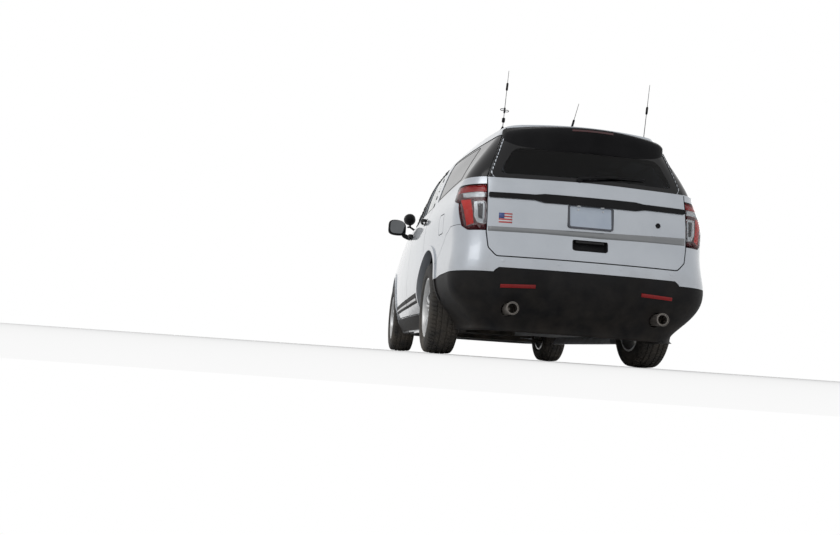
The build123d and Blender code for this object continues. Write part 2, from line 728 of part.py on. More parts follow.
def make_front_subframe():
    """The front rails, cross members, strut towers and lower arms, in one."""
    x, z = FRONT_AXLE_X, RAIL_Z
    low_z = (200, 262)
    rail = block(FIREWALL_X + FIREWALL_THICK, 2330, *RAIL_Y, *z)
    leg_y = (RAIL_Y[0] - 70, RAIL_Y[0] + 40)
    half = rail + block(x - 210, x + 210, 0, leg_y[1], *low_z)
    for leg_x in (x - 210, x + 150):
        half = half + block(leg_x, leg_x + 60, *leg_y, low_z[0], z[1])
    half = half + block(2290, 2330, 0, RAIL_Y[1], *z)
    half = half + block(x - 80, x + 80, RAIL_Y[0], RAIL_Y[0] + 32, z[0], 985)
    half = half + block(x - 85, x + 85, RAIL_Y[0], 690, 955, 985)
    half = half - on_kingpin(ROD_RADIUS + JOINT_GAP, 900, 1020)
    ball_y = kingpin_y(225)
    arm = polygon(
        (x - 36, ball_y - 10), (x - 36, ball_y + 10), (x + 36, ball_y + 10), (x + 36, ball_y - 10),
        (x + 190, 440), (x + 190, 380), (x + 120, 380), (x, 600), (x - 120, 380), (x - 190, 380), (x - 190, 440),
    )
    half = half + along_z(arm, 205, 232) + along_z(Location((x, ball_y)) * Circle(36), 205, 232)
    half = half + on_kingpin(STUD_RADIUS, 220, 268)
    return half + right_of(half)


def make_knuckle():
    """The left knuckle with its strut: it turns on the lower ball joint and the strut's top mount."""
    x = FRONT_AXLE_X
    knuckle = tube_y(x, AXLE_Z, HUB_IN_Y, HUB_OUT_Y, HUB_RADIUS)
    knuckle = knuckle + block(x - 30, x + 30, HUB_IN_Y + 10, HUB_OUT_Y - 10, 242, AXLE_Z)
    knuckle = knuckle + block(x - 28, x + 28, 690, HUB_IN_Y + 25, AXLE_Z, 500)
    knuckle = knuckle + on_kingpin(STRUT_RADIUS, 440, 760) + on_kingpin(ROD_RADIUS, 700, 985)
    for turn in range(SPRING_COILS):
        z = 762 + SPRING_PITCH * turn
        knuckle = knuckle + on_kingpin(SPRING_RADIUS, z, z + SPRING_PITCH / 2)
        knuckle = knuckle + on_kingpin(SPRING_RADIUS - 16, z + SPRING_PITCH / 2 - 1, z + SPRING_PITCH)
    knuckle = knuckle - tube_y(x, AXLE_Z, 0, HUB_OUT_Y + 1, STUB_RADIUS + BORE_GAP)
    return knuckle - on_kingpin(STUD_RADIUS + JOINT_GAP, 200, 275)


def make_rear_subframe():
    """The rear cross member with an arm and a hub carrier at each end."""
    x = REAR_AXLE_X
    half = block(x - 53, x + 53, 0, 450, 330, 400) + block(x - 40, x + 40, 440, HUB_IN_Y + 20, 335, 391)
    half = half + block(x - 43, x + 43, 390, 450, 390, CARGO_FLOOR_Z - FLOOR_THICK)
    half = half + tube_y(x, AXLE_Z, HUB_IN_Y, HUB_OUT_Y, HUB_RADIUS)
    half = half - tube_y(x, AXLE_Z, HUB_IN_Y - 15, HUB_OUT_Y + 1, STUB_RADIUS + BORE_GAP)
    return half + right_of(half)


def make_tyre(axle_x):
    """The left tyre: a hollow ring with round shoulders, open where the rim closes it."""
    half = TYRE_WIDTH / 2
    outer = [(60, TYRE_RADIUS), (104, TYRE_RADIUS - 11), (half, 312), (half, 285), (97, 242)]
    inner = [(97, 229.5), (82, 229.5), (105, 290), (96, 335), (60, 350)]
    one_side = outer + inner
    other_side = [(-w, r) for w, r in reversed(one_side)]
    return turned_on_axle(polygon(*one_side, *other_side), axle_x)


def turned_on_axle(face, axle_x):
    """A profile drawn with X along the axle, outwards from the wheel's middle, and Y away from it, turned."""
    plane = Plane(origin=(axle_x, WHEEL_Y, AXLE_Z), x_dir=(0, 1, 0), z_dir=(1, 0, 0))
    return revolve(plane * face, Axis((axle_x, WHEEL_Y, AXLE_Z), (0, 1, 0)))


def make_wheel(axle_x):
    """The left wheel: rim, five twin spokes, hub, brake disc and stub in one."""
    rim = polygon(
        (-108, 216), (-108, 240), (-98, 240), (-98, 228.6), (98, 228.6), (98, 240), (108, 240), (108, 218),
        (80, 212), (-20, 200), (-60, 212),
    )
    stub_end = HUB_IN_Y - WHEEL_Y + 10
    hub = polygon(
        (stub_end, 0), (stub_end, STUB_RADIUS), (-6, STUB_RADIUS), (-6, 176), (18, 176), (18, 84), (40, 84),
        (70, 78), (76, 40), (76, 0),
    )
    wheel = turned_on_axle(rim, axle_x) + turned_on_axle(hub, axle_x)
    plane = Plane(origin=(axle_x, WHEEL_Y + 84, AXLE_Z), x_dir=(1, 0, 0), z_dir=(0, -1, 0))
    for spoke in range(SPOKE_PAIRS):
        for lean in (-1, 1):
            face = polygon(
                (lean * 8, 60), (lean * 42, 55), (lean * 78, 212), (lean * 40, 220)
            )
            angle = spoke * 360 / SPOKE_PAIRS
            wheel = wheel + extrude(plane * Rot(0, 0, angle) * face, SPOKE_THICK)
    return wheel


def seat_form(radius, points, y0, y1):
    """One padded block of a seat, drawn from the side."""
    return along_y(rounded(radius, *points), y0, y1)


def make_front_seat(y):
    """One front seat: cushion, back, head restraint and a base on the floor."""
    half = FRONT_SEAT_WIDTH / 2
    cushion = [(-140, 400), (-120, 540), (380, 590), (410, 560), (400, 470), (-60, 400)]
    back = [(-200, 480), (-330, 1170), (-240, 1200), (-190, 1120), (-60, 540), (-120, 470)]
    head = [(-345, 1215), (-360, 1360), (-280, 1375), (-245, 1340), (-250, 1220)]
    seat = seat_form(20, cushion, y - half, y + half) + seat_form(25, back, y - half + 10, y + half - 10)
    seat = seat + seat_form(20, head, y - 135, y + 135) + block(-318, -290, y - 60, y + 60, 1150, 1240)
    return seat + block(-100, 330, y - 190, y + 190, FLOOR_Z, 440)


def make_rear_seat():
    """The rear bench: cushion, back and two feet beside the tunnel."""
    half = REAR_SEAT_WIDTH / 2
    cushion = [(-1010, 420), (-980, 550), (-540, 580), (-515, 545), (-525, 450)]
    back = [(-1020, 450), (-1155, 1150), (-1080, 1180), (-1035, 1130), (-880, 560), (-960, 450)]
    seat = seat_form(20, cushion, -half, half) + seat_form(25, back, -half, half)
    seat = seat + block(-960, -560, -half + 20, half - 20, TUNNEL_TOP_Z + 5, 460)
    foot = block(-900, -600, TUNNEL_Y, 500, FLOOR_Z, 430)
    return seat + foot + right_of(foot)


def column_plane(forward):
    """A plane across the steering column, some way forward of the steering wheel."""
    tilt = math.radians(COLUMN_TILT)
    along = Vector(math.cos(tilt), 0, -math.sin(tilt))
    return Plane(origin=Vector(*STEERING_WHEEL) + along * forward, x_dir=(0, 1, 0), z_dir=along)


def make_dashboard():
    """The dashboard with the steering column's housing."""
    outline = polygon((880, 800), (900, 970), (1000, 1080), (1320, 1100), (1320, 850), (1000, 720))
    face = fillet(outline.vertices(), 30)
    dash = along_y(face, -780, 780)
    dash = dash + extrude(column_plane(90) * Circle(38), 330)
    dash = dash + block(560, 1050, -120, 120, TUNNEL_TOP_Z, 640) + block(920, 1050, -120, 120, 600, 800)
    return dash - extrude(column_plane(80) * Circle(12.5), 250)


def make_steering_wheel():
    wheel = column_plane(0) * Torus(STEERING_WHEEL_RADIUS, 16)
    wheel = wheel + extrude(column_plane(0) * Circle(62), 45) + extrude(column_plane(20) * Circle(12), 200)
    reach = STEERING_WHEEL_RADIUS
    across = polygon((-reach, 20), (reach, 20), (reach, -22), (-reach, -22))
    down = polygon((-24, 0), (24, 0), (24, reach), (-24, reach))
    for spoke in (across, down):
        wheel = wheel + extrude(column_plane(2) * spoke, 18)
    return wheel


def make_mirror():
    """The left door mirror and its foot on the door."""
    shell = fillet(block(735, 850, 960, MIRROR_SPAN / 2, 1193, 1368).edges(), 35)
    foot = along_y(polygon((752, 1140), (838, 1140), (820, 1235), (770, 1235)), 870, 990)
    return (shell + foot) - body_form(0)


def make_spot_lamp():
    """The spot lamp on the left windshield pillar, with its arm."""
    x, y, z = SPOT_LAMP
    plane = Plane(origin=(x - 70, y, z), x_dir=(0, 1, 0), z_dir=(1, 0, 0))
    lamp = extrude(plane * Circle(40), 150, taper=-14)
    arm_y = y - 125
    arm = Plane(origin=(x + 10, arm_y, z - 30), x_dir=(1, 0, 0), z_dir=(0, 1, 0.15)) * Circle(11)
    return (lamp + extrude(arm, y - arm_y - 10)) - body_form(0)


def make_antennas():
    """Two tall whips and a short one leaning back, on the roof."""
    masts = []
    for x, y, base, height, lean in ANTENNAS:
        foot_z = roof_z(x, y)
        foot = along_z(Location((x, y)) * Circle(base), foot_z - 2, foot_z + 20)
        angle = math.radians(lean)
        up = (-math.sin(angle), 0, math.cos(angle))
        plane = Plane(origin=(x, y, foot_z + 15), x_dir=(0, 1, 0), z_dir=up)
        rod = extrude(plane * Circle(ANTENNA_ROD), height - 15)
        coil = extrude(plane.offset(0.3 * height) * Circle(ANTENNA_COIL), 60)
        masts.append((foot + rod + coil) - body_form(0))
    return Compound([mast.solids()[0] for mast in masts])


def roof_z(x, y):
    """The height of the roof's surface at one place."""
    along = ROOF.along_r - math.sqrt(ROOF.along_r**2 - (x - ROOF.x) ** 2)
    across = ROOF.across_r - math.sqrt(ROOF.across_r**2 - y**2)
    return ROOF.z - along - across


def make_exhaust():
    """The pipe under the tunnel, forked to a silencer and a tip at each side."""
    system = bar_x(-1560, 1340, 0, PIPE_Z, PIPE_RADIUS)
    for side in (-1, 1):
        start = Vector(-1540, 0, PIPE_Z)
        end = Vector(-1900, side * TIP_Y, TIP_Z)
        plane = Plane(origin=start, z_dir=(end - start).normalized())
        fork = extrude(plane * Circle(PIPE_RADIUS - 4), (end - start).length)
        box = block(*SILENCER_X, side * TIP_Y - 110, side * TIP_Y + 110, TIP_Z - 62, TIP_Z + 62)
        box = fillet(box.edges().filter_by(Axis.X), 45)
        tip = bar_x(-2490, -2200, side * TIP_Y, TIP_Z, TIP_RADIUS)
        mouth = bar_x(-2491, -2380, side * TIP_Y, TIP_Z, TIP_RADIUS - TIP_WALL)
        system = system + fork + box + tip - mouth
    return system


def save(name, piece):
    solids = piece.solids()
    export_step(solids[0] if len(solids) == 1 else Compound(solids), f"parts/{name}.step")


def main():
    os.makedirs("parts", exist_ok=True)
    side = make_side_panel()
    save("side_panels", Compound([*(side - fuel_pocket()).solids(), *right_of(side).solids()]))
    save("door_frames", both_sides(make_door_frame()))
    save("front_fenders", both_sides(make_fender()))
    save("hood", make_hood())
    save("cowl_panel", make_cowl())
    save("front_bumper", make_front_bumper())
    save("nose_panel", make_nose())
    save("grille", make_grille())
    save("head_lamps", both_sides(make_head_lamp()))
    save("tail_lamps", both_sides(make_tail_lamp()))
    save("rear_bumper", make_rear_bumper())
    save("rear_valance", make_valance())
    save("roof_panel", make_roof())
    save("windshield", make_windshield())
    save("quarter_windows", both_sides(make_quarter_glass()))
    save("tailgate", make_tailgate())
    save("tailgate_window", make_tailgate_glass())
    save("rear_spoiler", make_spoiler())
    save("tailgate_strip", make_tailgate_bar())
    save("fuel_door", make_fuel_door())
    save("sill_trims", both_sides(make_sill_trim()))
    save("floor_pan", make_floor())
    save("front_wheel_liners", both_sides(make_front_liner()))
    save("rear_wheel_liners", both_sides(make_rear_liner()))
    save("front_subframe", make_front_subframe())
    save("rear_subframe", make_rear_subframe())
    save("engine_block", block(1500, 2050, -340, 340, 320, 900))
    save("radiator", block(2230, 2280, -380, 380, 320, 860))
    save("fuel_tank", fillet(block(-1080, -520, 160, 580, 195, 258).edges().filter_by(Axis.Z), 40))
    save("exhaust", make_exhaust())
    seats = [make_front_seat(FRONT_SEAT_Y), make_front_seat(-FRONT_SEAT_Y)]
    save("front_seats", Compound([seat.solids()[0] for seat in seats]))
    save("rear_seat", make_rear_seat())
    save("dashboard", make_dashboard())
    save("steering_wheel", make_steering_wheel())
    save("spot_lamp", make_spot_lamp())
    save("antennas", make_antennas())
    on_each_side("steering_knuckle", make_knuckle())
    for place, axle_x in (("front", FRONT_AXLE_X), ("rear", REAR_AXLE_X)):
        on_each_side(f"{place}_wheel", make_wheel(axle_x))
        on_each_side(f"{place}_tyre", make_tyre(axle_x))
    for place, points, window in (("front", FRONT_DOOR, FRONT_WINDOW), ("rear", REAR_DOOR, REAR_WINDOW)):
        on_each_side(f"{place}_door", make_door(points, window))
        on_each_side(f"{place}_door_window", make_door_glass(window))
    on_each_side("door_mirror", make_mirror())


def on_each_side(name, piece):
    save(f"{name}_left", piece)
    save(f"{name}_right", right_of(piece))


if __name__ == "__main__":
    main()
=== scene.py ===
import json
import math
from collections import namedtuple

import bmesh
import bpy
import numpy as np
from mathutils import Matrix, Vector
from mathutils.bvhtree import BVHTree
from mathutils.geometry import barycentric_transform

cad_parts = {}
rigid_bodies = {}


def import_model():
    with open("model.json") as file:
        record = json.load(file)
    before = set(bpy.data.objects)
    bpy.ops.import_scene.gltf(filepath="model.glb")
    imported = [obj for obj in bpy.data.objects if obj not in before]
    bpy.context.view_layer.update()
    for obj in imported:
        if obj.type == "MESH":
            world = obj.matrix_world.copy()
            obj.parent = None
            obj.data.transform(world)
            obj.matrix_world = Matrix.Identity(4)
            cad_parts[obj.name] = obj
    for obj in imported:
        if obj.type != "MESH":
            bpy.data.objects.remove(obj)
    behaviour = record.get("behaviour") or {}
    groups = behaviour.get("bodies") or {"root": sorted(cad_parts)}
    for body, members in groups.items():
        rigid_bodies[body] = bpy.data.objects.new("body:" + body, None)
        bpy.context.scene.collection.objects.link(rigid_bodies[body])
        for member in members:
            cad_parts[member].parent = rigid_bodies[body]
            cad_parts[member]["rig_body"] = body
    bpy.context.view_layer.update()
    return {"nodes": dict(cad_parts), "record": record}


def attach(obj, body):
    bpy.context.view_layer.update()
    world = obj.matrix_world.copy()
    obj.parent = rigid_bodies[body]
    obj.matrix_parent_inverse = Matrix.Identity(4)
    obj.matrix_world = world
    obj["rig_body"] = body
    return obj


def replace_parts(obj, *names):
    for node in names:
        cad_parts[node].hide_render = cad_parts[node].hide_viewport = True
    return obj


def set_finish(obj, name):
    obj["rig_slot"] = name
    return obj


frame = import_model()

# The photo's frame in pixels, and the camera that was worked out from it
PHOTO_WIDTH = 840
FOCAL_PIXELS = 880.2
SENSOR_WIDTH = 36.0
CAMERA_PLACE = (-8.308, 1.880, 0.004)
CAMERA_YAW = -6.89
CAMERA_PITCH = 5.46
CAMERA_ROLL = 4.01

# Places on the car, in metres
AXLE_X = {"front": 1.573, "rear": -1.287}
AXLE_Z = 0.363
WHEEL_Y = 0.851
SIDES = {"left": 1, "right": -1}

# Directions: along the car, across it and up
AHEAD, BACK = (1, 0, 0), (-1, 0, 0)
ACROSS = (0, 1, 0)
UP, DOWN = (0, 0, 1), (0, 0, -1)


# Materials
def node(tree, kind, inputs=None, **settings):
    """Adds a node; an input is given a value, or a socket to link from."""
    made = tree.nodes.new("ShaderNode" + kind)
    for key, value in settings.items():
        setattr(made, key, value)
    for key, value in (inputs or {}).items():
        if isinstance(value, bpy.types.NodeSocket):
            tree.links.new(value, made.inputs[key])
        else:
            made.inputs[key].default_value = value
    return made


def noise(tree, place, scale, detail=3.0):
    """Cloudy noise, from 0 to 1."""
    return node(tree, "TexNoise", {"Vector": place, "Scale": scale, "Detail": detail}).outputs["Fac"]


def ranged(tree, value, low, high, out_low=0.0, out_high=1.0):
    """A value carried from one range to another."""
    inputs = {"Value": value, "From Min": low, "From Max": high, "To Min": out_low, "To Max": out_high}
    return node(tree, "MapRange", inputs).outputs["Result"]


def mixed(tree, factor, a, b):
    """One colour turning into another by a factor."""
    mix = node(tree, "Mix", data_type="RGBA")
    for index, value in ((0, factor), (6, a), (7, b)):
        if isinstance(value, bpy.types.NodeSocket):
            tree.links.new(value, mix.inputs[index])
        else:
            mix.inputs[index].default_value = value if index == 0 else (*value, 1)
    return mix.outputs[2]


def times(tree, a, b):
    """The product of two values."""
    return node(tree, "Math", {0: a, 1: b}, operation="MULTIPLY").outputs[0]


def grain(tree, place, scale):
    """Fine uneven relief, as on rubber or paint."""
    return noise(tree, place, scale, 6.0)


def cells(tree, place, scale):
    """Small rounded cells, as in moulded grain or leather."""
    made = node(tree, "TexVoronoi", {"Vector": place, "Scale": scale}, feature="SMOOTH_F1")
    return made.outputs["Distance"]


def weave(tree, place, scale):
    """Two sets of crossing threads."""
    threads = []
    for direction in ("X", "Z"):
        wave = node(
            tree, "TexWave", {"Vector": place, "Scale": scale, "Distortion": 0.6, "Detail Scale": 3.0},
            bands_direction=direction,
        )
        threads.append(wave.outputs["Fac"])
    return node(tree, "Math", {0: threads[0], 1: threads[1]}, operation="MAXIMUM").outputs[0]


def brushed(tree, place, scale):
    """Noise drawn out along Y."""
    stretched = node(tree, "Mapping", {"Vector": place, "Scale": (1.0, 0.06, 1.0)}).outputs["Vector"]
    return noise(tree, stretched, scale, 2.0)


def flutes(tree, place, scale):
    """Fine upright ribs, as on the inside of a lamp lens."""
    wave = node(tree, "TexWave", {"Vector": place, "Scale": scale}, bands_direction="Y")
    return wave.outputs["Fac"]


PATTERNS = {"grain": grain, "cells": cells, "weave": weave, "brushed": brushed, "flutes": flutes}
BLOTCH_SCALE = 5.0
RELIEF_HEIGHT = 0.0006
DUST_COLOUR = (0.20, 0.17, 0.135)
DUST_TOP, DUST_FULL = 0.75, 0.15
DUST_SCALE = 9.0
FLAKE_SCALE = 1600.0


def surface(
    name, colour, second, rough, spread=0.1, pattern="grain", scale=300.0, depth=0.15, dust=0.0, **shader,
):
    """A material: two colours in blotches, a fine pattern in its relief and gloss, and road dust low down."""
    plain = bpy.data.materials.get(name)
    if plain:
        bpy.data.materials.remove(plain)
    material = bpy.data.materials.new(name)
    material.use_nodes = True
    tree = material.node_tree
    bsdf = tree.nodes["Principled BSDF"]
    place = node(tree, "TexCoord").outputs["Object"]
    fine = PATTERNS[pattern](tree, place, scale)
    blotch = ranged(tree, noise(tree, place, BLOTCH_SCALE), 0.35, 0.65)
    colour_out = mixed(tree, blotch, colour, second)
    gloss = ranged(tree, fine, 0.2, 0.8, max(0.0, rough - spread), min(1.0, rough + spread))
    if dust:
        height = node(tree, "SeparateXYZ", {0: place}).outputs["Z"]
        low = ranged(tree, height, DUST_TOP, DUST_FULL)
        patches = ranged(tree, noise(tree, place, DUST_SCALE, 6.0), 0.3, 0.7)
        film = times(tree, times(tree, low, patches), dust)
        colour_out = mixed(tree, film, colour_out, DUST_COLOUR)
        gloss = node(tree, "Math", {0: gloss, 1: times(tree, film, 0.5)}, operation="ADD").outputs[0]
    tree.links.new(colour_out, bsdf.inputs["Base Color"])
    tree.links.new(gloss, bsdf.inputs["Roughness"])
    if depth:
        bump = node(tree, "Bump", {"Height": fine, "Strength": depth, "Distance": RELIEF_HEIGHT})
        tree.links.new(bump.outputs["Normal"], bsdf.inputs["Normal"])
    for key, value in shader.items():
        bsdf.inputs[key.replace("_", " ").title().replace("Ior", "IOR")].default_value = value
    return material


def car_paint(name, colour, second):
    """Metallic paint: bright flakes under a clear coat, with a film of dust along the sills."""
    material = surface(
        name, colour, second, 0.34, 0.06, "grain", 900.0, 0.03, dust=0.55, metallic=0.55, coat_weight=0.9,
        coat_roughness=0.04, specular_ior_level=0.5,
    )
    tree = material.node_tree
    place = tree.nodes["Texture Coordinate"].outputs["Object"]
    flake = node(tree, "TexVoronoi", {"Vector": place, "Scale": FLAKE_SCALE}).outputs["Color"]
    spark = ranged(tree, node(tree, "SeparateColor", {0: flake}).outputs[0], 0.0, 1.0, 0.93, 1.07)
    bsdf = tree.nodes["Principled BSDF"]
    plain = bsdf.inputs["Base Color"].links[0].from_socket
    scaled = node(tree, "VectorMath", {0: plain, "Scale": spark}, operation="SCALE").outputs[0]
    tree.links.new(scaled, bsdf.inputs["Base Color"])
    return material


# Each finish: colour, second colour, roughness, its spread, pattern, the pattern's scale and depth, dust
FINISHES = {
    "inner_paint": ((0.3, 0.31, 0.33), (0.34, 0.35, 0.37), 0.5, 0.1, "grain", 400, 0.1, 0.5),
    "band_grey": ((0.19, 0.2, 0.21), (0.22, 0.23, 0.24), 0.3, 0.05, "grain", 500, 0.03, 0.0),
    "black_trim": ((0.009, 0.009, 0.01), (0.014, 0.014, 0.015), 0.55, 0.1, "cells", 420, 0.35, 0.12),
    "gloss_black": ((0.006, 0.006, 0.007), (0.009, 0.009, 0.01), 0.14, 0.04, "grain", 700, 0.03, 0.0),
    "liner_plastic": ((0.014, 0.014, 0.014), (0.024, 0.023, 0.022), 0.85, 0.1, "cells", 160, 0.6, 0.6),
    "seal_rubber": ((0.01, 0.01, 0.01), (0.016, 0.016, 0.016), 0.65, 0.1, "grain", 500, 0.2, 0.1),
    "lamp_clear": ((0.32, 0.34, 0.36), (0.38, 0.4, 0.42), 0.12, 0.03, "flutes", 60, 0.25, 0.0),
    "lamp_red": ((0.2, 0.005, 0.006), (0.27, 0.007, 0.008), 0.2, 0.04, "flutes", 75, 0.3, 0.0),
    "lamp_bright_red": ((0.42, 0.014, 0.01), (0.5, 0.02, 0.014), 0.2, 0.04, "flutes", 90, 0.4, 0.0),
    "lamp_maroon": ((0.04, 0.003, 0.005), (0.06, 0.004, 0.007), 0.25, 0.03, "flutes", 80, 0.2, 0.0),
    "lamp_amber": ((0.62, 0.19, 0.01), (0.72, 0.25, 0.02), 0.12, 0.04, "flutes", 90, 0.4, 0.0),
    "lamp_chrome": ((0.72, 0.73, 0.74), (0.8, 0.81, 0.82), 0.08, 0.04, "grain", 300, 0.02, 0.0),
    "lamp_dark": ((0.03, 0.03, 0.032), (0.045, 0.045, 0.05), 0.3, 0.1, "cells", 300, 0.2, 0.0),
    "glass_clear": ((0.74, 0.8, 0.79), (0.78, 0.84, 0.83), 0.01, 0.01, "grain", 3, 0.0, 0.0),
    "glass_dark": ((0.03, 0.032, 0.036), (0.035, 0.038, 0.042), 0.01, 0.01, "grain", 3, 0.0, 0.0),
    "lens_clear": ((0.93, 0.95, 0.96), (0.96, 0.97, 0.98), 0.01, 0.01, "grain", 4, 0.0, 0.0),
    "mirror_glass": ((0.1, 0.105, 0.11), (0.12, 0.125, 0.13), 0.02, 0.02, "grain", 4, 0.0, 0.0),
    "chassis_metal": ((0.025, 0.025, 0.026), (0.05, 0.043, 0.036), 0.6, 0.12, "grain", 180, 0.4, 0.7),
    "engine_metal": ((0.3, 0.3, 0.31), (0.36, 0.36, 0.37), 0.5, 0.12, "grain", 220, 0.4, 0.4),
    "exhaust_metal": ((0.2, 0.185, 0.17), (0.28, 0.265, 0.25), 0.4, 0.12, "brushed", 260, 0.2, 0.4),
    "chrome": ((0.74, 0.75, 0.76), (0.8, 0.81, 0.82), 0.08, 0.04, "grain", 200, 0.02, 0.0),
    "steel": ((0.42, 0.42, 0.43), (0.5, 0.5, 0.5), 0.3, 0.1, "brushed", 400, 0.15, 0.0),
    "wheel_metal": ((0.56, 0.57, 0.58), (0.62, 0.63, 0.64), 0.28, 0.06, "grain", 700, 0.05, 0.5),
    "disc_steel": ((0.34, 0.33, 0.32), (0.42, 0.4, 0.38), 0.35, 0.1, "brushed", 700, 0.3, 0.0),
    "tyre_rubber": ((0.017, 0.017, 0.018), (0.03, 0.029, 0.028), 0.8, 0.1, "grain", 260, 0.3, 0.45),
    "seat_fabric": ((0.035, 0.036, 0.04), (0.055, 0.056, 0.062), 0.9, 0.05, "weave", 330, 0.7, 0.0),
    "seat_side": ((0.02, 0.02, 0.022), (0.03, 0.03, 0.033), 0.55, 0.1, "cells", 260, 0.4, 0.0),
    "seam_thread": ((0.085, 0.086, 0.09), (0.11, 0.11, 0.115), 0.8, 0.1, "weave", 900, 0.6, 0.0),
    "carpet": ((0.018, 0.018, 0.019), (0.034, 0.033, 0.032), 0.97, 0.02, "grain", 900, 1.0, 0.0),
    "headliner": ((0.3, 0.3, 0.29), (0.34, 0.34, 0.33), 0.95, 0.04, "weave", 500, 0.4, 0.0),
    "cabin_plastic": ((0.03, 0.03, 0.032), (0.042, 0.042, 0.045), 0.6, 0.1, "cells", 350, 0.4, 0.0),
    "cabin_grey": ((0.11, 0.11, 0.115), (0.14, 0.14, 0.145), 0.55, 0.1, "cells", 350, 0.35, 0.0),
    "screen_dark": ((0.004, 0.005, 0.006), (0.008, 0.009, 0.011), 0.12, 0.04, "grain", 200, 0.02, 0.0),
    "plate_face": ((0.4, 0.46, 0.55), (0.46, 0.52, 0.6), 0.4, 0.08, "cells", 900, 0.25, 0.0),
    "plate_frame": ((0.05, 0.055, 0.07), (0.07, 0.075, 0.09), 0.4, 0.1, "grain", 400, 0.15, 0.0),
    "sticker_red": ((0.45, 0.05, 0.05), (0.52, 0.07, 0.06), 0.4, 0.05, "grain", 400, 0.05, 0.0),
    "sticker_white": ((0.62, 0.63, 0.66), (0.68, 0.69, 0.72), 0.4, 0.05, "grain", 400, 0.05, 0.0),
    "sticker_blue": ((0.04, 0.07, 0.22), (0.06, 0.09, 0.27), 0.4, 0.05, "grain", 400, 0.05, 0.0),
}
# Shader values that a finish has beside these, by the name of the shader's input
SHADER_VALUES = {
    "coat_weight": {
        "band_grey": 0.5, "gloss_black": 0.08, "lamp_clear": 0.4, "lamp_red": 0.15, "lamp_bright_red": 0.15,
        "lamp_maroon": 0.2, "lamp_amber": 1.0, "wheel_metal": 0.4,
    },
    "specular_ior_level": {
        "black_trim": 0.08, "gloss_black": 0.22, "lamp_red": 0.25, "lamp_bright_red": 0.25,
    },
    "metallic": {
        "lamp_clear": 0.35, "lamp_chrome": 1.0, "mirror_glass": 1.0, "chassis_metal": 0.3,
        "engine_metal": 0.9, "exhaust_metal": 0.9, "chrome": 1.0, "steel": 1.0, "wheel_metal": 0.8,
        "disc_steel": 1.0,
    },
    "transmission_weight": {
        "glass_clear": 1.0, "glass_dark": 1.0, "lens_clear": 1.0,
    },
    "ior": {
        "glass_clear": 1.35, "glass_dark": 1.22, "lens_clear": 1.15,
    },
    "sheen_weight": {
        "seat_fabric": 0.4, "carpet": 0.3,
    },
}


def make_materials():
    """The record's slots, and the finishes of the pieces that are added here."""
    car_paint("body_paint", (0.40, 0.43, 0.47), (0.43, 0.46, 0.50))
    for name, finish in FINISHES.items():
        shader = {key: values[name] for key, values in SHADER_VALUES.items() if name in values}
        surface(name, *finish, **shader)


def paint(obj, *materials):
    """Gives an object its materials in order; its faces keep the numbers that they had."""
    faces = obj.data.polygons
    numbers = [face.material_index for face in faces]
    obj.data.materials.clear()
    for name in materials:
        obj.data.materials.append(bpy.data.materials[name])
    faces.foreach_set("material_index", numbers)
    return obj


# Making pieces
def piece(name, body, bm_or_mesh, *materials, slot=None, smooth=True):
    """Puts a mesh into the scene as a piece that rides on a body."""
    mesh = bm_or_mesh
    if isinstance(mesh, bmesh.types.BMesh):
        mesh = bpy.data.meshes.new(name)
        bm_or_mesh.normal_update()
        bm_or_mesh.to_mesh(mesh)
        bm_or_mesh.free()
    obj = bpy.data.objects.new(name, mesh)
    bpy.context.scene.collection.objects.link(obj)
    mesh.polygons.foreach_set("use_smooth", [smooth] * len(mesh.polygons))
    paint(obj, *materials)
    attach(obj, body)
    if slot:
        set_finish(obj, slot)
    return obj


def bevelled(obj, width, segments=2, angle=30):
    """Rounds a piece's sharp edges."""
    bevel = obj.modifiers.new("edge", "BEVEL")
    bevel.width = width
    bevel.segments = segments
    bevel.limit_method = "ANGLE"
    bevel.angle_limit = math.radians(angle)
    bevel.harden_normals = False
    return obj


def sharpened(obj, angle=35):
    """Smooth shading that breaks at sharp edges."""
    bm = bmesh.new()
    bm.from_mesh(obj.data)
    for edge in bm.edges:
        if len(edge.link_faces) == 2 and edge.calc_face_angle(0) > math.radians(angle):
            edge.smooth = False
    bm.to_mesh(obj.data)
    bm.free()
    return obj


def thickened(obj, thick):
    """Gives a sheet a thickness, outwards."""
    solid = obj.modifiers.new("thick", "SOLIDIFY")
    solid.thickness = thick
    solid.offset = 1
    return obj


TREES = {}


def tree_of(nodes):
    """The surfaces of one or more CAD nodes, to cast rays at."""
    if nodes not in TREES:
        bm = bmesh.new()
        for name in nodes:
            bm.from_mesh(frame["nodes"][name].data)
        TREES[nodes] = BVHTree.FromBMesh(bm)
        bm.free()
    return TREES[nodes]


# A direction of sight, and the place on its starting plane of an outline's two numbers
View = namedtuple("View", "direction start")
VIEWS = {
    "rear": View(Vector((1, 0, 0)), lambda u, v: Vector((-3.0, u, v))),
    "front": View(Vector((-1, 0, 0)), lambda u, v: Vector((3.0, u, v))),
    "left": View(Vector((0, -1, 0)), lambda u, v: Vector((u, 1.6, v))),
    "right": View(Vector((0, 1, 0)), lambda u, v: Vector((u, -1.6, v))),
    "top": View(Vector((0, 0, -1)), lambda u, v: Vector((u, v, 2.4))),
    "left_inside": View(Vector((0, 1, 0)), lambda u, v: Vector((u, 0.25, v))),
    "right_inside": View(Vector((0, -1, 0)), lambda u, v: Vector((u, -0.25, v))),
    "rear_inside": View(Vector((-1, 0, 0)), lambda u, v: Vector((-1.9, u, v))),
    "roof_inside": View(Vector((0, 0, 1)), lambda u, v: Vector((u, v, 1.3))),
    "floor_inside": View(Vector((0, 0, -1)), lambda u, v: Vector((u, v, 0.95))),
    "dash": View(Vector((1, 0, 0)), lambda u, v: Vector((0.62, u, v))),
}


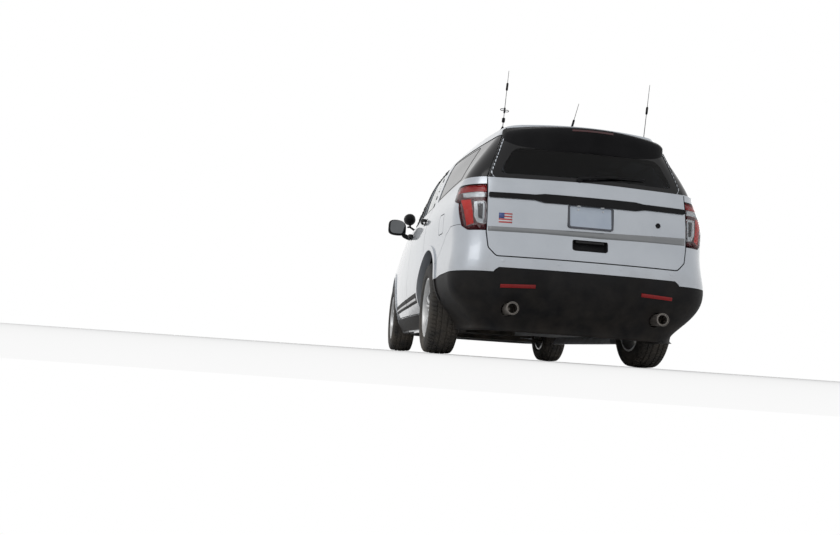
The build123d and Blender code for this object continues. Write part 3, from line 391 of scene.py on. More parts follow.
def rounded(points, radius, steps=4):
    """An outline with its corners rounded."""
    out = []
    count = len(points)
    for i, point in enumerate(points):
        p, a, b = (Vector((*q, 0)).to_2d() for q in (point, points[i - 1], points[(i + 1) % count]))
        to_a, to_b = (a - p), (b - p)
        reach = min(radius, to_a.length / 2.1, to_b.length / 2.1)
        start, end = p + to_a.normalized() * reach, p + to_b.normalized() * reach
        for k in range(steps + 1):
            t = k / steps
            out.append(tuple(start * (1 - t) ** 2 + p * 2 * t * (1 - t) + end * t**2))
    return out


def rectangle(u0, u1, v0, v1, radius=0.0):
    """A rectangle's outline, with rounded corners where it has a radius."""
    corners = [(u0, v0), (u1, v0), (u1, v1), (u0, v1)]
    return rounded(corners, radius) if radius else corners


def angles(count):
    """Evenly spaced angles of one turn."""
    return np.linspace(0, math.tau, count, False)


def surface_place(view, u, v, nodes):
    """The place on CAD nodes seen at an outline's two numbers, and the way out of the surface."""
    direction, start = VIEWS[view]
    hit, normal, _, _ = tree_of(nodes).ray_cast(start(u, v), direction)
    if hit is None:
        return None, None
    return hit, (-normal if normal.dot(direction) > 0 else normal)


def above(view, u, v, nodes, lift):
    """A place that a surface is lifted to."""
    hit, normal = surface_place(view, u, v, nodes)
    return hit + normal * lift


def cut_along(bm, place, normal):
    """Divides a mesh's faces along a plane."""
    geometry = bm.verts[:] + bm.edges[:] + bm.faces[:]
    bmesh.ops.bisect_plane(bm, geom=geometry, dist=1e-6, plane_co=place, plane_no=normal)


def gridded(outline, step):
    """A flat outline cut up by a grid, still in its own two numbers."""
    bm = bmesh.new()
    bm.faces.new([bm.verts.new((u, v, 0)) for u, v in outline])
    for axis in (0, 1):
        low, high = min(p[axis] for p in outline), max(p[axis] for p in outline)
        count = math.ceil((high - low) / step)
        normal = Vector((axis == 0, axis == 1, 0))
        for i in range(1, count):
            cut_along(bm, normal * (low + (high - low) * i / count), normal)
    return bm


# How far a point that misses a surface may be from its edge
EDGE_REACH = 0.02


def laid_on(bm, view, nodes, lift):
    """Carries a flat grid onto the surface of CAD nodes, as seen from one side, and faces it outward.

    A point just past the surface's edge goes to that edge, and one further out is dropped.
    """
    direction, start = VIEWS[view]
    missed = []
    for vert in bm.verts:
        hit, normal = surface_place(view, vert.co.x, vert.co.y, nodes)
        if hit is None:
            missed.append(vert)
        else:
            vert.co = hit + normal * lift
    dropped = []
    past = set(missed)
    for vert in missed:
        near = [edge.other_vert(vert).co for edge in vert.link_edges if edge.other_vert(vert) not in past]
        if not near:
            dropped.append(vert)
            continue
        place = start(vert.co.x, vert.co.y)
        depth = sum((co - place).dot(direction) for co in near) / len(near)
        hit = tree_of(nodes).find_nearest(place + direction * depth, EDGE_REACH)[0]
        if hit is None:
            dropped.append(vert)
            continue
        vert.co = hit - direction * lift
    bmesh.ops.delete(bm, geom=dropped, context="VERTS")
    bm.normal_update()
    for face in bm.faces:
        if face.normal.dot(direction) > 0:
            face.normal_flip()
    return bm


def draped(
    name, body, outline, view, nodes, material, lift=0.0, thick=0.002, step=0.03, edge=0.0006, slot=None,
):
    """A thin piece that follows the car's surface inside an outline."""
    bm = laid_on(gridded(outline, step), view, nodes, lift)
    obj = thickened(piece(name, body, bm, material, slot=slot), thick)
    if edge:
        bevelled(obj, edge)
    return obj


def outlined(name, body, outline, view, nodes, material, radius, lift=0.0, slot=None, step=0.025):
    """A round bead that follows a closed outline over the car's surface."""
    points = []
    for (u0, v0), (u1, v1) in zip(outline, outline[1:] + outline[:1]):
        count = max(1, math.ceil(math.dist((u0, v0), (u1, v1)) / step))
        for i in range(count):
            t = i / count
            hit, normal = surface_place(view, u0 + (u1 - u0) * t, v0 + (v1 - v0) * t, nodes)
            if hit is not None:
                points.append(hit + normal * lift)
    return tube(name, body, points, radius, material, closed=True, slot=slot)


def ring_mesh(rings, closed_rings=True, capped=True, looped=False):
    """A mesh of quads between rings of the same count, one after another."""
    bm = bmesh.new()
    rows = [[bm.verts.new(p) for p in ring] for ring in rings]
    pairs = list(zip(rows, rows[1:]))
    if looped:
        pairs.append((rows[-1], rows[0]))
    for a, b in pairs:
        count = len(a) if closed_rings else len(a) - 1
        for i in range(count):
            k = (i + 1) % len(a)
            bm.faces.new((a[i], a[k], b[k], b[i]))
    if capped and not looped:
        bm.faces.new(rows[0][::-1])
        bm.faces.new(rows[-1])
    bmesh.ops.recalc_face_normals(bm, faces=bm.faces)
    return bm


def tube_rings(points, radius, sides):
    """Rings of points round a path. The radius is one number, or one for each point."""
    points = [Vector(p) for p in points]
    radii = radius if isinstance(radius, (list, tuple)) else [radius] * len(points)
    rings, side = [], None
    for i, p in enumerate(points):
        ahead = (points[min(i + 1, len(points) - 1)] - points[max(i - 1, 0)]).normalized()
        if side is None:
            # any direction that no path here runs along
            side = ahead.cross(Vector((0.13, 0.21, 1))).normalized()
        side = (side - ahead * side.dot(ahead)).normalized()
        over = ahead.cross(side)
        rings.append([p + (side * math.cos(a) + over * math.sin(a)) * radii[i] for a in angles(sides)])
    return rings


def tube(name, body, points, radius, material, sides=10, closed=False, slot=None):
    """A round rod along a path."""
    bm = ring_mesh(tube_rings(points, radius, sides), looped=closed)
    return piece(name, body, bm, material, slot=slot)


def turned(name, body, profile, centre, axis, material, segments=48, slot=None, closed=False):
    """A profile of (distance along the axis, radius) turned about an axis."""
    axis = Vector(axis).normalized()
    side = axis.orthogonal().normalized()
    over = axis.cross(side)
    centre = Vector(centre)
    rings = []
    for along, radius in profile:
        middle = centre + axis * along
        rings.append([middle + (side * math.cos(a) + over * math.sin(a)) * radius for a in angles(segments)])
    obj = piece(name, body, ring_mesh(rings, capped=not closed, looped=closed), material, slot=slot)
    return sharpened(obj)


def mounted(name, body, profile, view, place, nodes, material, segments, slot=None, closed=False):
    """A turned piece that stands on a surface, at a place seen from one side."""
    hit, normal = surface_place(view, *place, nodes)
    return turned(name, body, profile, hit, normal, material, segments, slot=slot, closed=closed)


def form(name, body, sections, material, slot=None, edge=0.0, level=0):
    """A closed form through sections of the same count of points."""
    obj = piece(name, body, ring_mesh(sections), material, slot=slot)
    if level:
        smoother = obj.modifiers.new("smooth", "SUBSURF")
        smoother.levels = smoother.render_levels = level
    elif edge:
        bevelled(sharpened(obj), edge, 3)
    return obj


def slab(name, body, low, high, material, edge=0.003):
    """A block with rounded edges."""
    (x0, y0, z0), (x1, y1, z1) = low, high
    sections = [[(x, y0, z0), (x, y1, z0), (x, y1, z1), (x, y0, z1)] for x in (x0, x1)]
    return form(name, body, sections, material, edge=edge)


def joined(name, objects):
    """Several pieces of one body as one piece."""
    graph = bpy.context.evaluated_depsgraph_get()
    bm = bmesh.new()
    materials = []
    for obj in objects:
        mesh = bpy.data.meshes.new_from_object(obj.evaluated_get(graph), depsgraph=graph)
        places = []
        for m in mesh.materials:
            if m not in materials:
                materials.append(m)
            places.append(materials.index(m))
        if places:
            for poly in mesh.polygons:
                poly.material_index = places[poly.material_index]
        bm.from_mesh(mesh)
        bpy.data.meshes.remove(mesh)
    first = objects[0]
    made = piece(name, first["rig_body"], bm, *[m.name for m in materials], slot=first.get("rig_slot"))
    for obj in objects:
        bpy.data.objects.remove(obj)
    return made


# Wheels and tyres
# Half of a tyre's section, from the middle of the tread to the bead and back inside. Each row: distance
# across, radius, depth of the cross grooves there
TREAD = [
    (0.0, 0.3628, 0.002), (0.018, 0.3626, 0.003), (0.021, 0.3550, 0.0), (0.029, 0.3548, 0.0),
    (0.032, 0.3621, 0.004), (0.056, 0.3608, 0.005), (0.059, 0.3530, 0.0), (0.067, 0.3524, 0.0),
    (0.070, 0.3594, 0.006), (0.092, 0.3566, 0.007), (0.101, 0.3535, 0.007), (0.108, 0.3460, 0.005),
    (0.1135, 0.3370, 0.002), (0.1165, 0.3270, 0.0), (0.1190, 0.3180, 0.0), (0.1204, 0.3150, 0.0),
    (0.1208, 0.3128, 0.0), (0.1220, 0.3020, 0.0), (0.1220, 0.2860, 0.0), (0.1202, 0.2700, 0.0),
    (0.1208, 0.2660, 0.0), (0.1192, 0.2610, 0.0), (0.1150, 0.2500, 0.0), (0.1075, 0.2400, 0.0),
    (0.0985, 0.2330, 0.0), (0.0960, 0.2290, 0.0), (0.0840, 0.2300, 0.0), (0.1030, 0.2900, 0.0),
    (0.0940, 0.3340, 0.0), (0.0500, 0.3460, 0.0),
]
TREAD_PITCHES = 66
# Where each pitch of the tread has its points: a block, then a groove from the third on
PITCH_STEPS = (0.0, 0.70, 0.76, 0.94)
GROOVE_FROM = 2
TREAD_SLANT = 0.055


def tyre_rings():
    """The rings of a tyre about the Y axis, with slanted cross grooves in the shoulders."""
    section = [*TREAD, *[(-w, r, d) for w, r, d in reversed(TREAD[1:])]]
    rings = []
    for pitch in range(TREAD_PITCHES):
        for step, share in enumerate(PITCH_STEPS):
            ring = []
            for across, radius, groove in section:
                angle = (pitch + share) / TREAD_PITCHES * math.tau + TREAD_SLANT * across / 0.1
                r = radius - (groove if step >= GROOVE_FROM else 0.0)
                ring.append((r * math.sin(angle), across, r * math.cos(angle)))
            rings.append(ring)
    return rings


def about_wheel(obj, end, side):
    """Carries a mesh made about the origin, with +Y outwards, to one wheel's place."""
    turn = Matrix.Rotation(math.pi, 4, "Z") if side == "right" else Matrix.Identity(4)
    place = Matrix.Translation((AXLE_X[end], SIDES[side] * WHEEL_Y, AXLE_Z))
    obj.data.transform(place @ turn)
    return obj


# A spoke from the hub to the rim: radius, width, face, thickness
SPOKE_ROWS = [
    (0.050, 0.034, 0.070, 0.040), (0.085, 0.030, 0.082, 0.036), (0.125, 0.026, 0.088, 0.030),
    (0.165, 0.027, 0.089, 0.027), (0.200, 0.032, 0.087, 0.027), (0.219, 0.042, 0.083, 0.030),
]
# A spoke's section, in shares of its width and thickness
SPOKE_EDGE = [(-0.5, -1.0), (-0.5, -0.25), (-0.34, 0.0), (0.34, 0.0), (0.5, -0.25), (0.5, -1.0)]
SPOKE_PAIRS = 5
SPOKE_LEAN = 0.17
NUT_CIRCLE = 0.057
VALVE_CIRCLE = 0.208
# Turned parts of a wheel: distance along the axle, radius
RIM = [
    (-0.104, 0.219), (-0.108, 0.222), (-0.108, 0.237), (-0.104, 0.240), (-0.098, 0.239), (-0.096, 0.2286),
    (0.096, 0.2286), (0.098, 0.239), (0.104, 0.240), (0.108, 0.237), (0.108, 0.226), (0.100, 0.220),
    (0.088, 0.216), (0.060, 0.212), (0.010, 0.204), (-0.050, 0.206), (-0.080, 0.214),
]
HUB = [
    (0.010, 0.0), (0.010, 0.074), (0.050, 0.076), (0.070, 0.066), (0.074, 0.044), (0.066, 0.040),
    (0.066, 0.0),
]
CAP = [(0.060, 0.0), (0.060, 0.036), (0.072, 0.034), (0.077, 0.026), (0.0785, 0.012), (0.079, 0.0)]
NUT = [(0.060, 0.0), (0.060, 0.0105), (0.078, 0.0105), (0.083, 0.007), (0.084, 0.0)]
VALVE = [(0.06, 0.0), (0.06, 0.004), (0.088, 0.0035), (0.094, 0.0045), (0.100, 0.004), (0.100, 0.0)]
DISC = [
    (-0.008, 0.078), (-0.008, 0.174), (0.000, 0.176), (0.003, 0.172), (0.009, 0.172), (0.012, 0.176),
    (0.018, 0.174), (0.018, 0.084), (0.040, 0.080), (0.040, 0.060), (-0.004, 0.060),
]


def spoke_sections(angle):
    """One spoke from the hub to the rim, dished and narrowing."""
    sections = []
    for radius, width, face, thick in SPOKE_ROWS:
        out = Vector((math.sin(angle), 0, math.cos(angle)))
        along = Vector((math.cos(angle), 0, -math.sin(angle)))
        sections.append(
            [out * radius + along * width * u + Vector((0, face + thick * v, 0)) for u, v in SPOKE_EDGE]
        )
    return sections


def add_wheel(end, side):
    """Rim, ten spokes in pairs, hub, cap, nuts and valve as one piece, with a disc and a tyre."""
    body = f"wheel_{end}_{side}"
    name = f"{end}_{side}"
    centre = (0, 0, 0)
    parts = [turned(f"{name}_rim", body, RIM, centre, ACROSS, "wheel_metal", 64, closed=True)]
    parts.append(turned(f"{name}_hub", body, HUB, centre, ACROSS, "wheel_metal", 40))
    for pair in range(SPOKE_PAIRS):
        for lean in (-SPOKE_LEAN, SPOKE_LEAN):
            sections = spoke_sections(pair * math.tau / SPOKE_PAIRS + lean)
            parts.append(form(f"{name}_spoke", body, sections, "wheel_metal", level=1))
    parts.append(turned(f"{name}_cap", body, CAP, centre, ACROSS, "gloss_black", 32))
    for nut in range(SPOKE_PAIRS):
        angle = (nut + 0.5) * math.tau / SPOKE_PAIRS
        at = (NUT_CIRCLE * math.sin(angle), 0, NUT_CIRCLE * math.cos(angle))
        parts.append(turned(f"{name}_nut", body, NUT, at, ACROSS, "chrome", 6))
    parts.append(turned(f"{name}_valve", body, VALVE, (0.0, 0, -VALVE_CIRCLE), ACROSS, "seal_rubber", 10))
    wheel = joined(f"{end}_{side}_alloy", parts)
    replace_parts(wheel, f"{end}_wheel_{side}")
    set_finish(wheel, "wheel_metal")
    about_wheel(wheel, end, side)
    about_wheel(turned(f"{name}_disc", body, DISC, centre, ACROSS, "disc_steel", 56, closed=True), end, side)
    tyre = piece(
        f"{name}_tyre", body, ring_mesh(tyre_rings(), looped=True), "tyre_rubber", slot="tyre_rubber",
    )
    sharpened(tyre, 38)
    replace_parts(tyre, f"{end}_tyre_{side}")
    about_wheel(tyre, end, side)


# A caliper's section: radius, distance along the axle; and the angles from the top that it is drawn at
CALIPER = [
    (0.118, -0.040), (0.190, -0.036), (0.1945, 0.0), (0.190, 0.036), (0.172, 0.044), (0.118, 0.040),
    (0.118, 0.024), (0.180, 0.022), (0.180, -0.014), (0.118, -0.016),
]
CALIPER_ANGLES = (62, 72, 90, 108, 118)
CALIPER_OUT = 0.004


def add_caliper(end, side):
    """A brake caliper over the rear edge of the disc, on what carries the hub."""
    body = f"knuckle_{side}" if end == "front" else "body"
    sections = []
    for angle in np.radians(CALIPER_ANGLES):
        shrink = 0.004 if abs(math.degrees(angle) - 90) > 20 else 0.0
        out = Vector((-math.sin(angle), 0, math.cos(angle)))
        flat = 1 - 4 * shrink
        sections.append([out * (r - shrink) + Vector((0, y * flat + CALIPER_OUT, 0)) for r, y in CALIPER])
    obj = form(f"{end}_{side}_caliper", body, sections, "engine_metal", edge=0.002)
    about_wheel(obj, end, side)


def add_wheels():
    """All four wheels and their brakes."""
    for end in AXLE_X:
        for side in SIDES:
            add_wheel(end, side)
            add_caliper(end, side)


# Glass and lamps
def copied(node_name, weld=1e-5):
    """A welded copy of a CAD node's mesh."""
    bm = bmesh.new()
    bm.from_mesh(frame["nodes"][node_name].data)
    bmesh.ops.remove_doubles(bm, verts=bm.verts, dist=weld)
    bm.normal_update()
    return bm


def kept_normals(obj, node_name):
    """Gives a piece cut from a CAD node that node's own normals, so that its reflections run smoothly."""
    source = frame["nodes"][node_name].data
    corner_normals = [c.vector.copy() for c in source.corner_normals]
    places = [v.co.copy() for v in source.vertices]
    faces = [tuple(p.vertices) for p in source.polygons]
    tree = BVHTree.FromPolygons(places, faces)
    mesh = obj.data
    normals = [None] * len(mesh.loops)
    for poly in mesh.polygons:
        for loop in poly.loop_indices:
            co = mesh.vertices[mesh.loops[loop].vertex_index].co
            near = co.lerp(poly.center, 0.02)
            index = tree.find_nearest(near)[2]
            corners = [places[v] for v in faces[index][:3]]
            weights = barycentric_transform(near, *corners, Vector(AHEAD), Vector(ACROSS), Vector(UP))
            start = source.polygons[index].loop_start
            normal = sum((corner_normals[start + k] * weights[k] for k in range(3)), Vector())
            if normal.dot(poly.normal) < 0:
                normal = -normal
            normals[loop] = normal.normalized()
    mesh.normals_split_custom_set(normals)
    return obj


def within(outline, u, v):
    """Whether a point is inside an outline."""
    inside = False
    for (u0, v0), (u1, v1) in zip(outline, outline[1:] + outline[:1]):
        if (v0 > v) != (v1 > v) and u < u0 + (v - v0) * (u1 - u0) / (v1 - v0):
            inside = not inside
    return inside


def zoned(bm, across, zones, twice=False):
    """Cuts a mesh along outlines in X or Y and Z, once or on both sides, and numbers each zone's faces."""
    for outline, _ in zones:
        for (u0, v0), (u1, v1) in zip(outline, outline[1:] + outline[:1]):
            du, dv = u1 - u0, v1 - v0
            if across == "x":
                cut_along(bm, Vector((u0, 0, v0)), Vector((dv, 0, -du)).normalized())
                continue
            for side in (1, -1) if twice else (1,):
                cut_along(bm, Vector((0, side * u0, v0)), Vector((0, side * dv, -du)).normalized())
    for face in bm.faces:
        centre = face.calc_center_median()
        u = centre.x if across == "x" else abs(centre.y) if twice else centre.y
        for outline, number in zones:
            if within(outline, u, centre.z):
                face.material_index = number
    return bm


def add_pane(name, body, node_name, across, opening, glass):
    """A pane with the CAD's form: see-through in its opening, opaque black towards its edge."""
    bm = copied(node_name)
    for face in bm.faces:
        face.material_index = 1
    obj = piece(name, body, zoned(bm, across, [(opening, 0)]), glass, "gloss_black", slot=glass)
    kept_normals(obj, node_name)
    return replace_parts(obj, node_name)


def outward(point, middle_x):
    """Level direction from the car's middle line to a point."""
    return Vector((point.x - middle_x, point.y, 0)).normalized()


def lamp_shells(node_name, middle_x, limit=0.45):
    """A lamp's solid as two meshes: its outer skin, and the open box behind it."""
    skin, box = copied(node_name), copied(node_name)
    for bm, keep_skin in ((skin, True), (box, False)):
        drop = []
        for face in bm.faces:
            is_skin = face.normal.dot(outward(face.calc_center_median(), middle_x)) > limit
            if is_skin != keep_skin:
                drop.append(face)
        bmesh.ops.delete(bm, geom=drop, context="FACES")
    return skin, box


def moved_in(bm, depth):
    """Moves a skin along its own normals."""
    bm.normal_update()
    moves = [(v, v.normal.copy()) for v in bm.verts]
    for vert, normal in moves:
        vert.co -= normal * depth
    return bm


LAMP_PANEL_DEPTH = 0.012
# How far a lamp's box is drawn in from the CAD's own faces
BOX_INSET = 0.0005
# Parts of a tail lamp, seen from the rear: distance from the middle, height
LAMP_TOP_BAND = [(0.60, 1.150), (1.00, 1.150), (1.00, 1.26), (0.60, 1.26)]
LAMP_CLEAR_BAR = [(0.60, 1.112), (0.866, 1.112), (0.866, 1.146), (0.60, 1.146)]
LAMP_RED_UPRIGHT = [(0.825, 1.092), (0.880, 1.092), (0.845, 0.905), (0.803, 0.920)]
LAMP_CLEAR_UPRIGHT = [(0.733, 1.080), (0.806, 1.078), (0.803, 0.970), (0.780, 0.925), (0.722, 0.918)]
LAMP_CORE = [(0.748, 1.062), (0.785, 1.062), (0.776, 0.960), (0.748, 0.948)]


def add_tail_lamps():
    """Tail lamps: the CAD's solid is a clear cover over red, clear and dark parts in a dark box."""
    skin, box = lamp_shells("tail_lamps", -1.2)
    panel = moved_in(skin, LAMP_PANEL_DEPTH)
    zones = [
        (LAMP_TOP_BAND, 1), (LAMP_CLEAR_BAR, 2), (LAMP_RED_UPRIGHT, 3), (LAMP_CLEAR_UPRIGHT, 2),
        (LAMP_CORE, 4),
    ]
    colours = ("lamp_maroon", "lamp_red", "lamp_clear", "lamp_bright_red", "lamp_dark")
    obj = piece("tail_lamp_panels", "body", zoned(panel, "y", zones, twice=True), *colours, slot="lamp_red")
    kept_normals(obj, "tail_lamps")
    piece("tail_lamp_boxes", "body", moved_in(box, BOX_INSET), "lamp_maroon", slot="lamp_red")
    paint(frame["nodes"]["tail_lamps"], "lens_clear")
    lift = 0.001 - LAMP_PANEL_DEPTH
    for side, sign in SIDES.items():
        for name, outline in (("bar", LAMP_CLEAR_BAR), ("upright", LAMP_CLEAR_UPRIGHT)):
            around = rounded([(sign * u, v) for u, v in outline], 0.02)
            rim = f"tail_lamp_{name}_rim_{side}"
            outlined(rim, "body", around, "rear", ("tail_lamps",), "lamp_chrome", 0.002, lift, "lamp_red")


# A head lamp's two projectors: distance from the middle, height, radius
PROJECTORS = [(0.66, 0.955, 0.042), (0.77, 0.975, 0.038)]
PROJECTOR_SET_IN = 0.044
HEAD_LAMP_DEPTH = 0.060
# A bowl and the ball in it: distance along the lamp, share of the radius
BOWL = [
    (-0.012, 0.7), (0.000, 0.9), (0.014, 1.0), (0.018, 1.0), (0.018, 0.94), (0.006, 0.84), (-0.004, 0.6),
]
BALL = [(0.0, 0.74), (0.008, 0.70), (0.016, 0.52), (0.021, 0.26)]
BOWL_BORE = 0.006


def add_head_lamps():
    """Head lamps: a clear cover over a dark box with two projectors."""
    skin, box = lamp_shells("head_lamps", 1.5)
    piece("head_lamp_boxes", "body", moved_in(box, BOX_INSET), "lamp_dark", slot="lamp_clear")
    piece("head_lamp_backs", "body", moved_in(skin, HEAD_LAMP_DEPTH), "lamp_dark", slot="lamp_clear")
    paint(frame["nodes"]["head_lamps"], "lens_clear")
    for side, sign in SIDES.items():
        for number, (y, z, radius) in enumerate(PROJECTORS):
            face = surface_place("front", sign * y, z, ("head_lamps",))[0]
            centre = face + Vector((-PROJECTOR_SET_IN, 0, 0))
            bowl = [
                (-0.012, BOWL_BORE), *[(along, radius * share) for along, share in BOWL], (-0.006, BOWL_BORE),
            ]
            turned(f"head_lamp_bowl_{number}_{side}", "body", bowl, centre, AHEAD, "lamp_chrome", 40)
            ball = [*[(along, radius * share) for along, share in BALL], (0.0225, 0.001)]
            turned(f"head_lamp_ball_{number}_{side}", "body", ball, centre, AHEAD, "lens_clear", 32)


# Windows and black panels
REAR_OPENING = [(0.640, 1.296), (0.530, 1.500), (-0.530, 1.500), (-0.640, 1.296)]
WINDSHIELD_OPENING = [(0.722, 1.262), (0.583, 1.640), (-0.583, 1.640), (-0.722, 1.262)]
QUARTER_OPENING = [(-1.125, 1.268), (-1.022, 1.600), (-1.800, 1.586), (-1.940, 1.296)]
FRONT_OPENING = [(0.850, 1.206), (0.262, 1.590), (0.110, 1.610), (-0.030, 1.614), (-0.030, 1.220)]
REAR_DOOR_OPENING = [(-0.158, 1.225), (-0.158, 1.614), (-0.680, 1.610), (-0.805, 1.600), (-0.916, 1.246)]
GATE_SIDE = [(0.646, 1.264), (0.7155, 1.264), (0.5985, 1.600), (0.583, 1.626), (0.530, 1.626)]
FRONT_POST = [(-0.034, 1.214), (-0.088, 1.214), (-0.088, 1.618), (-0.034, 1.618)]
REAR_POST = [(-0.099, 1.218), (-0.154, 1.218), (-0.154, 1.618), (-0.099, 1.618)]
# A gloss black bead along the tailgate's outer edge beside its window, put there as painted shade in the gap,
# on the left: along, across, up
GATE_GAP_SHADE_BEAD = [
    (-2.290, 0.711, 1.264), (-2.280, 0.703, 1.300), (-2.262, 0.690, 1.345), (-2.234, 0.652, 1.450),
    (-2.202, 0.627, 1.520), (-2.172, 0.607, 1.580),
]
# The tailgate's edge beside its window, seen from the side; it is covered in gloss black as painted shade in
# the gap
GATE_EDGE_SHADE = [
    (-2.292, 1.264), (-2.240, 1.450), (-2.165, 1.606), (-2.115, 1.606), (-2.190, 1.450), (-2.240, 1.264),
]


def add_glass():
    """Panes with their black borders, the black panels between them, painted shade in the tailgate's gap, and
    the rubber seals.
    """
    add_pane("tailgate_pane", "tailgate", "tailgate_window", "y", rounded(REAR_OPENING, 0.05), "glass_dark")
    add_pane("windshield_pane", "body", "windshield", "y", rounded(WINDSHIELD_OPENING, 0.06), "glass_clear")
    quarter = rounded(QUARTER_OPENING, 0.03)
    add_pane("quarter_panes", "body", "quarter_windows", "x", quarter, "glass_dark")
    gate = {
        "slot": "black_trim", "nodes": ("tailgate",), "material": "gloss_black", "lift": 0.0008,
        "step": 0.010,
    }
    doors = (("front", FRONT_POST, FRONT_OPENING), ("rear", REAR_POST, REAR_DOOR_OPENING))
    for side, sign in SIDES.items():
        gate_side = [(sign * u, v) for u, v in GATE_SIDE]
        draped(f"gate_side_{side}", "tailgate", gate_side, "rear", thick=0.0012, **gate)
        # Gloss black on the tailgate's side face, and a black bead along its edge: painted shade in the gap
        # beside the window
        draped(f"gate_edge_{side}", "tailgate", GATE_EDGE_SHADE, side, thick=0.0010, edge=0, **gate)
        bead = [(x, sign * y, z) for x, y, z in GATE_GAP_SHADE_BEAD]
        tube(f"gate_bead_{side}", "tailgate", bead, 0.0045, "gloss_black", 8, slot="black_trim")
        for end, post, opening in doors:
            body, pane = f"{end}_door_{side}", f"{end}_door_window_{side}"
            draped(
                f"{body}_post", body, post, side, (body,), "gloss_black", 0.0002, 0.0012, slot="black_trim",
            )
            around = rounded(opening, 0.025)
            outlined(
                f"{body}_seal", body, around, side, (body, pane), "seal_rubber", 0.0042, slot="black_trim",
            )
        nodes = ("side_panels", "quarter_windows")
        outlined(
            f"quarter_seal_{side}", "body", quarter, side, nodes, "seal_rubber", 0.0022, slot="black_trim",
        )


# Door furniture
FRONT_BELT = [(-0.088, 1.200), (0.886, 1.178), (0.862, 1.200), (-0.088, 1.216)]
REAR_BELT = [(-0.098, 1.201), (-0.098, 1.218), (-0.918, 1.240), (-0.955, 1.226)]
FRONT_GUARD = [(-0.080, 0.405), (0.985, 0.385), (0.985, 0.452), (-0.080, 0.484)]
REAR_GUARD = [(-0.106, 0.405), (-0.106, 0.484), (-0.786, 0.508), (-0.760, 0.425)]
FRONT_INSERT = [(-0.080, 0.424), (0.975, 0.404), (0.975, 0.418), (-0.080, 0.444)]
REAR_INSERT = [(-0.106, 0.424), (-0.106, 0.444), (-0.772, 0.466), (-0.764, 0.446)]
# The middle of each grip: x, height
GRIPS = {"front": (0.045, 1.092), "rear": (-0.855, 1.112)}
GRIP_HALF = 0.105


GRIP_LOCK = [(0.0, 0.009), (0.003, 0.009), (0.004, 0.007), (0.0042, 0.0)]


def add_grip(name, body, side, x, z):
    """A pull handle that bows out from the door over a shallow cup, with a lock on the front doors."""
    up = Vector(UP)
    sections = []
    for share in np.linspace(0, 1, 11):
        hit, normal = surface_place(side, x - GRIP_HALF + 2 * GRIP_HALF * share, z, (body,))
        bow = 0.004 + 0.034 * math.sin(math.pi * share) ** 0.55
        tall = 0.013 + 0.004 * math.sin(math.pi * share)
        centre = hit + normal * bow
        sections.append([centre + up * tall * math.sin(a) + normal * 0.009 * math.cos(a) for a in angles(12)])
    form(name, body, sections, "black_trim", slot="black_trim", level=1)
    cup = rectangle(x - 0.066, x + 0.066, z - 0.030, z + 0.030, 0.03)
    draped(f"{name}_cup", body, cup, side, (body,), "black_trim", 0.0, 0.0012, 0.02, slot="black_trim")
    if name.startswith("front"):
        place = (x - GRIP_HALF - 0.012, z)
        mounted(f"{name}_lock", body, GRIP_LOCK, side, place, (body,), "steel", 20, slot="black_trim")


def add_doors_outside():
    """Belt trims, lower guards with their bright inserts, and grips."""
    outlines = {
        "front": (FRONT_BELT, FRONT_GUARD, FRONT_INSERT), "rear": (REAR_BELT, REAR_GUARD, REAR_INSERT),
    }
    # name, material, lift, thickness, rounded edge
    strips = [
        ("belt", "black_trim", 0.0, 0.004, 0.0012),
        ("guard", "black_trim", 0.0, 0.009, 0.003),
        ("insert", "steel", 0.009, 0.0015, 0.0005),
    ]
    for side in SIDES:
        for end, rows in outlines.items():
            body = f"{end}_door_{side}"
            for outline, (name, material, lift, thick, edge) in zip(rows, strips):
                draped(
                    f"{body}_{name}", body, outline, side, (body,), material, lift, thick, 0.04, edge,
                    "black_trim",
                )
            add_grip(f"{body}_grip", body, side, *GRIPS[end])


# Mirrors and spot lamp
MIRROR_ROWS = [
    # distance from the middle of the car, front x, rear x, bottom, top
    (0.955, 0.838, 0.772, 1.215, 1.300), (0.965, 0.846, 0.760, 1.206, 1.330),
    (1.000, 0.852, 0.746, 1.197, 1.356), (1.060, 0.852, 0.740, 1.194, 1.364),
    (1.110, 0.842, 0.740, 1.200, 1.358), (1.136, 0.826, 0.744, 1.216, 1.340),
    (1.143, 0.806, 0.750, 1.240, 1.316),
]
MIRROR_FOOT = [
    # distance from the middle of the car, x, height, half width, half height
    (0.875, 0.800, 1.176, 0.052, 0.028), (0.920, 0.800, 1.180, 0.046, 0.024),
    (0.965, 0.798, 1.196, 0.040, 0.024), (1.000, 0.798, 1.214, 0.034, 0.024),
]
# x, half width, half height
MIRROR_GLASS = [(0.7405, 0.074, 0.068), (0.7385, 0.073, 0.067)]
MIRROR_Y, MIRROR_Z = 1.052, 1.279


def squarish(centre, half_u, half_v, power, along_u=ACROSS, along_v=UP, count=20):
    """Points round a rounded rectangle."""
    ring = []
    for a in angles(count):
        c, s = math.cos(a), math.sin(a)
        u = math.copysign(abs(c) ** (2 / power), c) * half_u
        v = math.copysign(abs(s) ** (2 / power), s) * half_v
        ring.append(Vector(centre) + Vector(along_u) * u + Vector(along_v) * v)
    return ring


